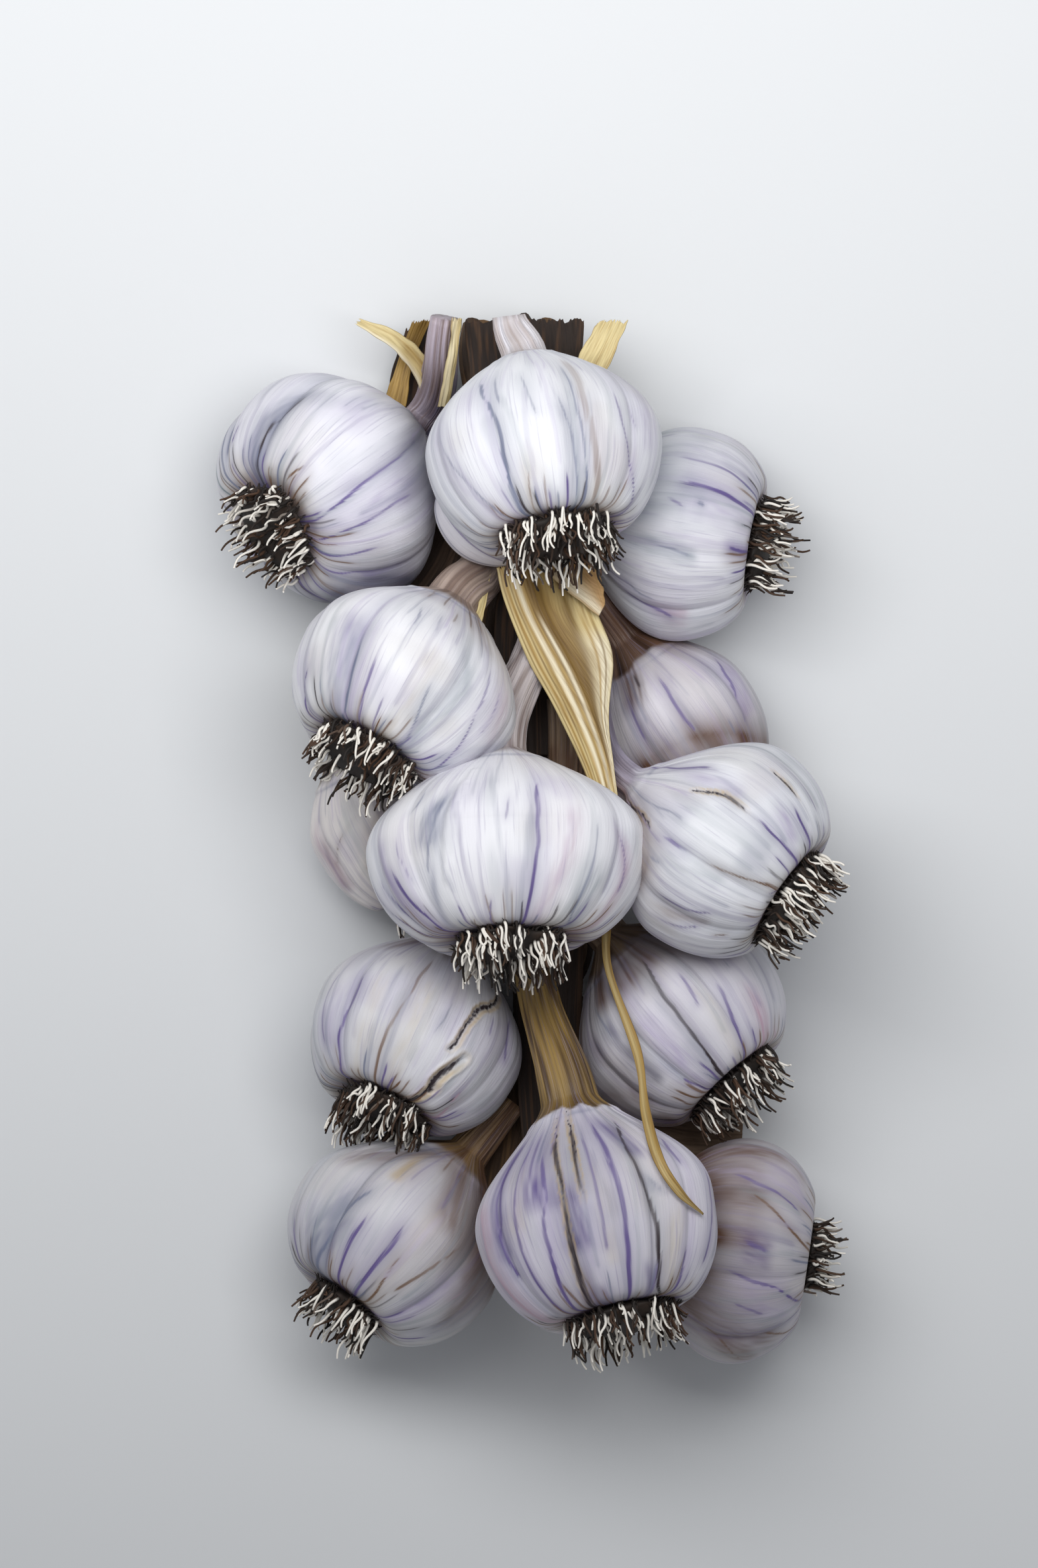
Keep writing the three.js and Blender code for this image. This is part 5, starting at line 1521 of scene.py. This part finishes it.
# %% Places of the leaves
# The two edges of each leaf, and the ridge of its fold where it has one, from its upper
# end. Those named leaf_inner are the dark ones between the heads: dried leaves, coloured
# dark brown to nearly black so that they also stand in for the shade in the gaps, partly
# as painted shade.
LEAVES = {
    "leaf_folded": dict(
        left=[(-10.6, 66, 42), (-8, 56.5, 44), (-2.5, 42.5, 46),
              (4.3, 30.3, 47), (10.2, 17.8, 50), (15.5, 4.5, 58)],
        ridge=[(-3.5, 66, 44), (0.8, 54.2, 47.5), (7.7, 41.5, 49.5),
               (12.6, 30.1, 50.5), (16.4, 18.2, 54), (18.6, 5.4, 60)],
        right=[(9, 66, 40), (14.4, 53.4, 44.5), (17.9, 43.4, 46),
               (16.9, 29, 48), (17.6, 18.2, 53), (19.4, 6, 59)],
    ),
    "leaf_flap": dict(
        left=[(2.2, 66.4, 44), (3.4, 62.6, 46.4), (14.4, 53.4, 47.6)],
        right=[(12, 67, 44), (15, 62.6, 46.4), (16, 56.4, 48)],
    ),
    "leaf_tendril": dict(
        left=[(15.2, -20, 38), (15.8, -32, 42.6), (22.6, -52, 53), (24.6, -66, 66),
              (27.6, -77.4, 79), (33, -85.6, 79.5), (39.2, -90.4, 74)],
        right=[(17.4, -20, 38), (18, -32, 42.6), (24.8, -51.4, 53), (26.8, -66, 66),
               (29.8, -76.4, 79), (34.4, -84, 79.5), (39.6, -90, 74)],
    ),
    "leaf_top_curled": dict(
        left=[(-45, 124.6, 24), (-36.4, 119.2, 22), (-31, 113.4, 17), (-28, 107, 12)],
        right=[(-43.6, 126, 24), (-34, 122.6, 22), (-27.6, 117, 17), (-23.6, 110.4, 12)],
    ),
    "leaf_top_inner": dict(
        left=[(-30.6, BRAID_TOP, 13), (-34.2, 116, 10), (-37.4, 107, 9)],
        right=[(-26, BRAID_TOP, 13), (-30.4, 116, 10), (-32.2, 104.6, 9)],
    ),
    "leaf_top_right": dict(
        left=[(14.6, BRAID_TOP - 0.6, 36), (9.2, 115.6, 33), (3.4, 103, 27)],
        right=[(21.8, BRAID_TOP - 0.6, 36), (16.2, 112.6, 33), (9.6, 99.6, 27)],
    ),
    "leaf_top_stalk": dict(
        left=[(-21, BRAID_TOP, 31.5), (-22.4, 115, 26.5), (-24.6, 104.6, 20.5)],
        right=[(-18.6, BRAID_TOP, 30), (-20, 115, 25), (-21.8, 104.6, 19)],
    ),
    "leaf_upper_left": dict(
        left=[(-13.4, 65, 38.5), (-14.6, 57, 44.5), (-16.4, 50, 48)],
        right=[(-11.6, 64.4, 37.5), (-12.8, 56.4, 43.5), (-14.8, 49.6, 47)],
    ),
    "leaf_inner_top": dict(
        left=[(-18, BRAID_TOP, 24), (-17, 115, 24), (-15, 100, 25)],
        right=[(11, BRAID_TOP, 25), (10, 115, 25), (7, 100, 25)],
    ),
    "leaf_inner_upper": dict(
        left=[(-9.5, 64, 27), (-11, 44, 27), (-9, 20, 26)],
        right=[(3.6, 64, 27), (3.4, 44, 27), (3, 20, 26)],
    ),
    "leaf_inner_lower": dict(
        left=[(-6, -26, 21), (-6, -48, 19), (-4, -74, 20)],
        right=[(11, -26, 21), (10, -48, 19), (8, -74, 20)],
    ),
    "leaf_inner_stalks": dict(
        left=[(-32, BRAID_TOP - 1.5, 5), (-36, 112, 5), (-38, 99, 5)],
        right=[(-21.6, BRAID_TOP - 0.5, 6), (-23, 112, 6), (-24, 99, 6)],
    ),
    "leaf_inner_left": dict(
        left=[(-26, 82, 12), (-35, 67, 11), (-47, 53, 10)],
        right=[(-13, 77, 13), (-19, 59, 12), (-39, 44, 10)],
    ),
    "leaf_inner_bottom": dict(
        left=[(-12, -52, 12), (-17, -67, 11), (-23, -92, 10)],
        right=[(-5, -54, 12), (-3.4, -68, 11), (-5, -94, 10)],
    ),
    "leaf_inner_right": dict(
        left=[(24, -78, 15), (36, -81, 14), (49, -81, 12)],
        right=[(25, -60, 15), (36, -62, 14), (50, -63, 12)],
    ),
}
print("leaves:", len(LEAVES))

# %% Colours of the leaves
# Each leaf: its own colour, its veins' colour, and bands as a tone, a half width (a share
# of the leaf's width), a strength and a line of places (share across, share down).
TONES |= {
    "straw": srgb(216, 199, 148),
    "gold": srgb(166, 134, 70),
    "olive": srgb(116, 88, 34),
    "tan": srgb(190, 150, 98),
    "bark": srgb(84, 58, 36),
    "cream": srgb(232, 224, 200),
}
STRAW_LEAF = ("straw", "gold", [])
# Dark inner leaves: their own dark brown, made nearly black as painted shade for the gaps.
DARK_LEAF = (srgb(34, 21, 13), srgb(82, 56, 34), [])
LEAF_BANDS = {
    "leaf_folded": ("straw", "gold", [
        # Gold and olive bands along the fold: partly the leaf's own colour, partly painted shade.
        ("gold", 0.24, 1, [(0.48, 0), (0.52, 0.3), (0.58, 0.8)]),
        ("olive", 0.13, 1, [(0.46, 0), (0.50, 0.2), (0.58, 0.45), (0.64, 0.75)]),
        ("olive", 0.06, 0.85, [(0.80, 0), (0.72, 0.25), (0.68, 0.5)]),
        ("cream", 0.14, 0.85, [(0.90, 0.35), (0.86, 0.6), (0.84, 0.85)]),
        ("olive", 0.012, 0.8, [(0.05, 0), (0.06, 0.5), (0.06, 1)]),
        ("olive", 0.014, 0.8, [(0.16, 0), (0.18, 0.5), (0.17, 1)]),
        ("olive", 0.014, 0.8, [(0.38, 0), (0.41, 0.4), (0.43, 0.9)]),
        ("gold", 0.035, 0.9, [(0.09, 0), (0.12, 0.5), (0.10, 1)]),
        ("gold", 0.03, 0.9, [(0.21, 0), (0.24, 0.5), (0.25, 1)]),
        ("gold", 0.032, 0.9, [(0.33, 0), (0.36, 0.5), (0.38, 1)]),
        ("gold", 0.018, 0.8, [(0.84, 0.25), (0.82, 0.5), (0.80, 0.9)]),
        ("olive", 0.012, 0.8, [(0.92, 0.3), (0.90, 0.5), (0.88, 0.8)]),
        ("cream", 0.04, 0.8, [(0.28, 0.1), (0.31, 0.6), (0.31, 1)]),
        ("cream", 0.03, 0.8, [(0.44, 0.3), (0.45, 0.6), (0.45, 1)]),
    ]),
    "leaf_flap": ("tan", "gold", [
        ("cream", 0.35, 0.8, [(0.1, 0.4), (0.3, 1)]),
        ("gold", 0.12, 0.6, [(0.02, 0.2), (0.02, 1)]),
    ]),
    "leaf_tendril": ("gold", "olive", [("straw", 0.25, 0.5, [(0.4, 0), (0.4, 1)])]),
    "leaf_top_curled": ("straw", "gold", [
        ("cream", 0.15, 0.9, [(0.02, 0), (0.02, 1)]),
        ("gold", 0.25, 0.6, [(0.45, 0.5), (0.55, 1)]),
    ]),
    "leaf_top_inner": ("gold", "olive", [("olive", 0.5, 1.0, [(0.6, 0), (0.6, 0.3)])]),
    "leaf_top_stalk": ("straw", "gold", [("cream", 0.3, 0.5, [(0.3, 0), (0.3, 1)])]),
    # The inner leaves between the heads: partly their own brown, partly painted shade in the gaps.
    "leaf_inner_left": (srgb(52, 36, 25), srgb(112, 88, 70), []),
    "leaf_inner_bottom": (srgb(66, 46, 28), srgb(118, 88, 54), []),
    "leaf_inner_right": (srgb(112, 92, 74), srgb(74, 54, 40), []),
}
print("leaves with bands of their own:", len(LEAF_BANDS))

# %% Dry leaf and stalk finishes
STREAK_TINT = (0.42, 0.32, 0.2, 1)  # what the dark streaks do to the colour under them


def dry_finish(name, roughness, streak_dark, depth_mm):
    """Dried leaf or stalk: its kept colour, darkened along its fibres."""
    material = plain_finish(name, (0.5, 0.4, 0.25), roughness)
    tree = material.node_tree
    shader = tree.nodes["Principled BSDF"]
    broad, fine = fibres(tree, 5.0, 1.0), fibres(tree, 16.0, 2.0, 5.0)
    shade = maths(tree, "MULTIPLY", ramp(tree, fine, 0.42, 0.68), streak_dark)
    colour = blend_colours(tree, shade, kept(tree, "paper"), STREAK_TINT, "MULTIPLY")
    height = maths(tree, "MULTIPLY_ADD", broad, 0.6, maths(tree, "MULTIPLY", fine, 0.6))
    fill(tree, shader, Base_Color=colour, Normal=relief_of(tree, height, depth_mm, 0.7))
    return material


GOLDEN_LEAF = dry_finish("golden leaf", 0.6, 0.45, 0.3)
DARK_LEAF_FINISH = dry_finish("dark leaf", 0.8, 0.6, 0.5)
DARK_STALK = dry_finish("dark stalk", 0.75, 0.6, 0.5)
print("finishes:", GOLDEN_LEAF.name, DARK_LEAF_FINISH.name, DARK_STALK.name)

# %% Make the leaves
LEAF_THICKNESS = 0.5
LEAF_ROWS = 110
COLUMNS_IN_MM, FEWEST_COLUMNS, MOST_COLUMNS = 5, 16, 120
FRAYED, WAVY_EDGE = 1.6, 0.25  # mm that the upper end and the edges stray


def leaf_grid(name, across, down):
    """The middle surface of a leaf, the direction square to it, and its width there."""
    leaf = LEAVES[name]
    left, right = smooth_path(leaf["left"], down), smooth_path(leaf["right"], down)
    ridge = smooth_path(leaf["ridge"], down) if "ridge" in leaf else (left + right) / 2
    u = across[..., None]
    surface = np.where(u < 0.5, left + (ridge - left) * 2 * u, ridge + (right - ridge) * (2 * u - 1))
    step_across, step_down = np.gradient(surface, axis=1), np.gradient(surface, axis=0)
    face = unit(np.cross(step_across, step_down))
    return surface, np.where(face[..., 2:] < 0, -face, face), np.linalg.norm(right - left, axis=-1)


def leaf_colours(name, across, down, seed):
    """A leaf's colours: straw with parallel veins, and its own bands."""
    base, vein, bands = LEAF_BANDS.get(name, DARK_LEAF if name.startswith("leaf_inner") else STRAW_LEAF)
    base, vein = (TONES[c] if isinstance(c, str) else c for c in (base, vein))
    lines = waves(across * 300, down * 1.5 - 1, 40, seed)
    lines = lines + 0.5 * waves(across * 300, down - 1, 90, seed + 1)
    colours = mixed(np.broadcast_to(base, across.shape + (3,)), vein, 0.65 * smooth(0.0, 0.9, lines))
    for tone, half, strength, line in bands:
        path = smooth_path(sorted(line, key=lambda place: place[1]), np.linspace(0, 1, LINE_STEPS))
        middle, first, last = np.interp(down, path[:, 1], path[:, 0]), path[0, 1], path[-1, 1]
        band = np.exp(-(((across - middle) / half) ** 2))
        ends = smooth(first - 0.12, first, down) * smooth(last + 0.15, last, down)
        colours = mixed(colours, TONES[tone], strength * ends * band)
    return mixed(colours, vein * 0.5, 0.5 * smooth(0.03, 0, np.minimum(across, 1 - across)))


def make_leaf(name):
    """One dried leaf."""
    seed = 300 + 10 * list(LEAVES).index(name)
    dark = name.startswith("leaf_inner")
    width = np.linalg.norm(np.subtract(LEAVES[name]["left"][0], LEAVES[name]["right"][0]))
    columns = int(np.clip(width * COLUMNS_IN_MM, FEWEST_COLUMNS, MOST_COLUMNS))
    down, across = np.meshgrid(np.linspace(0, 1, LEAF_ROWS), np.linspace(0, 1, columns), indexing="ij")
    surface, face, wide = leaf_grid(name, across, down)
    fray = FRAYED * np.abs(waves(across * 300, across * 0, 40 if dark else 30, seed + 2))
    run = np.gradient(surface, axis=0)
    surface = surface + unit(run) * (fray * smooth(0.12, 0, down))[..., None]
    edge = WAVY_EDGE * waves(down * 250, down * 0, 14, seed + 3)
    edge = edge * np.sign(across - 0.5) * np.abs(2 * across - 1) ** 4
    surface = surface + unit(np.gradient(surface, axis=1)) * edge[..., None]
    proud = 0.16 * waves(across * 300, down - 1, 36, seed)
    proud = proud + 0.3 * waves(down * 200, across - 1, 9, seed + 4)
    thick = LEAF_THICKNESS * (0.35 + 0.65 * np.sqrt(np.clip(4 * across * (1 - across), 0, 1)))
    sides = [surface + face * (proud + half)[..., None] for half in (thick / 2, -thick / 2)]
    count = across.size
    index = np.arange(count).reshape(across.shape)
    quads = np.stack([index[:-1, :-1], index[1:, :-1], index[1:, 1:], index[:-1, 1:]], -1).reshape(-1, 4)
    rim = np.concatenate([index[:-1, 0], index[-1, :-1], index[:0:-1, -1], index[0, :0:-1]])
    after = np.roll(rim, -1)
    walls = np.stack([after, rim, rim + count, after + count], -1)
    faces = np.concatenate([quads, quads[:, ::-1] + count, walls]).tolist()
    points = np.concatenate([side.reshape(-1, 3) for side in sides])
    piece = mesh_piece(f"dry_{name}", points, faces, DARK_LEAF_FINISH if dark else GOLDEN_LEAF)
    colours = coloured(leaf_colours(name, across, down, seed))
    run = down * len(LEAVES[name]["left"]) / 2
    grain = np.stack([across * wide / 10, across * 0, run], -1)
    for label, values in (("paper", colours), ("grain", grain)):
        keep(piece, label, np.tile(values.reshape(-1, values.shape[-1]), (2, 1)))
    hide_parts(name)
    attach(piece, "root")
    return piece


for name in LEAVES:
    made = make_leaf(name)
    print(made.name, len(made.data.polygons), "faces")

# %% [markdown]
# ## The plait
# Behind the heads their stalks are plaited in three strands. A strand could be one thick
# rope, but a real one is several stalks that lie together and twist a little, so a
# Geometry Nodes tree gives each stalk's line a round section, whose thickness it reads
# from the line's own points.

# %% The stalks' tree
STALK_SIDES = 10


def stalks_tree():
    """Gives every line of a mesh a round section of its own thickness."""
    tree, size, result = nodes_tree("stalks", Sides="Int", Material="Material")
    line = node(tree, "GeometryNodeMeshToCurve")
    fill(tree, line, Mesh=size["Mesh"])
    ring = node(tree, "GeometryNodeCurvePrimitiveCircle")
    fill(tree, ring, Resolution=size["Sides"], Radius=1.0)
    place = node(tree, "GeometryNodeInputPosition").outputs[0]
    turning = store(tree, ring.outputs[0], "turn", place, "FLOAT_VECTOR")
    skin = tubes(tree, line.outputs[0], turning, named(tree, "thickness"))
    run = node(tree, "ShaderNodeCombineXYZ")
    fill(tree, run, Z=named(tree, "run"))
    grain = vectors(tree, "ADD", named(tree, "turn", "FLOAT_VECTOR"), run.outputs[0])
    grained = store(tree, skin, "grain", grain, "FLOAT_VECTOR")
    smoothed = node(tree, "GeometryNodeSetShadeSmooth")
    fill(tree, smoothed, Geometry=grained)
    end_tree(tree, smoothed.outputs[0], size["Material"], result)
    return tree


STALKS = stalks_tree()
print("tree:", STALKS.name)

# %% Make the plait
PLAIT = [(2.5, -60, 6), (3, -12, 8), (0, 40, 10.4), (-5.5, BRAID_TOP - 1.5, 10.4)]  # x, y, swing
PLAIT_TURNS = 2.5
STRAND_RADIUS = 0.4  # over the half width of its swing, as is the next
STRAND_RISE = 0.68
PLAIT_REST = 0.3  # mm over the table
STALKS_IN_STRAND = 5
STALK_POINTS = 150
STALK_OFF, STALK_THICK = 0.52, 0.47  # off the strand's middle, and thick, over its radius
STALK_TWIST = 0.9  # turns round the strand's middle, from end to end
STALK_LUMPS = 0.08
# The stalks are darker brown than dry straw: partly their own colour, partly painted shade for the gaps
# between the heads where they show.
STALK_DARK, STALK_LIGHT = srgb(48, 33, 22), srgb(104, 78, 50)


def make_strand(number):
    """One strand of the plait: several stalks that twist round its middle."""
    share = np.linspace(0, 1, STALK_POINTS)
    x, y, swing = smooth_path(PLAIT, share).T
    turn = 2 * np.pi * (PLAIT_TURNS * share + number / 3)
    z = PLAIT_REST + swing * (STRAND_RISE + STRAND_RADIUS) + swing * STRAND_RISE * np.sin(2 * turn)
    middle = np.stack([x + swing * np.sin(turn), y, z], -1)
    side, over = square_to(unit(np.gradient(middle, axis=0)))
    thick = swing * STRAND_RADIUS
    lines, edges, thickness, runs, papers = [], [], [], [], []
    rng = np.random.default_rng(60 + number)
    for i in range(STALKS_IN_STRAND):
        around = 2 * np.pi * (i / STALKS_IN_STRAND + STALK_TWIST * share) + rng.uniform(0, 0.5)
        off = thick * STALK_OFF
        line = middle + side * (off * np.cos(around))[:, None] + over * (off * np.sin(around))[:, None]
        start = len(lines) * STALK_POINTS
        lines.append(line)
        edges += [(start + j, start + j + 1) for j in range(STALK_POINTS - 1)]
        lumps = 1 + STALK_LUMPS * waves(share * 300, share * 0, 19, 70 + 10 * number + i)
        thickness.append(thick * STALK_THICK * lumps * MM)
        runs.append(share * 12 + rng.uniform(0, 20))
        tone = mixed(STALK_DARK, STALK_LIGHT, np.array(rng.uniform(0, 1)))
        papers.append(np.broadcast_to(tone, (STALK_POINTS, 3)))
    mesh = bpy.data.meshes.new(f"plait_{number + 1}")
    mesh.from_pydata(((np.concatenate(lines) + CENTRING) * MM).tolist(), edges, [])
    piece = bpy.data.objects.new(f"plait_stalks_{number + 1}", mesh)
    bpy.context.scene.collection.objects.link(piece)
    keep(piece, "thickness", np.concatenate(thickness))
    keep(piece, "run", np.concatenate(runs))
    keep(piece, "paper", coloured(np.concatenate(papers)))
    grow(piece, STALKS, Sides=STALK_SIDES, Material=DARK_STALK)
    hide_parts(f"plait_strand_{number + 1}")
    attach(piece, "root")
    return piece


for number in range(3):
    made = make_strand(number)
    print(made.name, len(made.data.polygons), "faces")
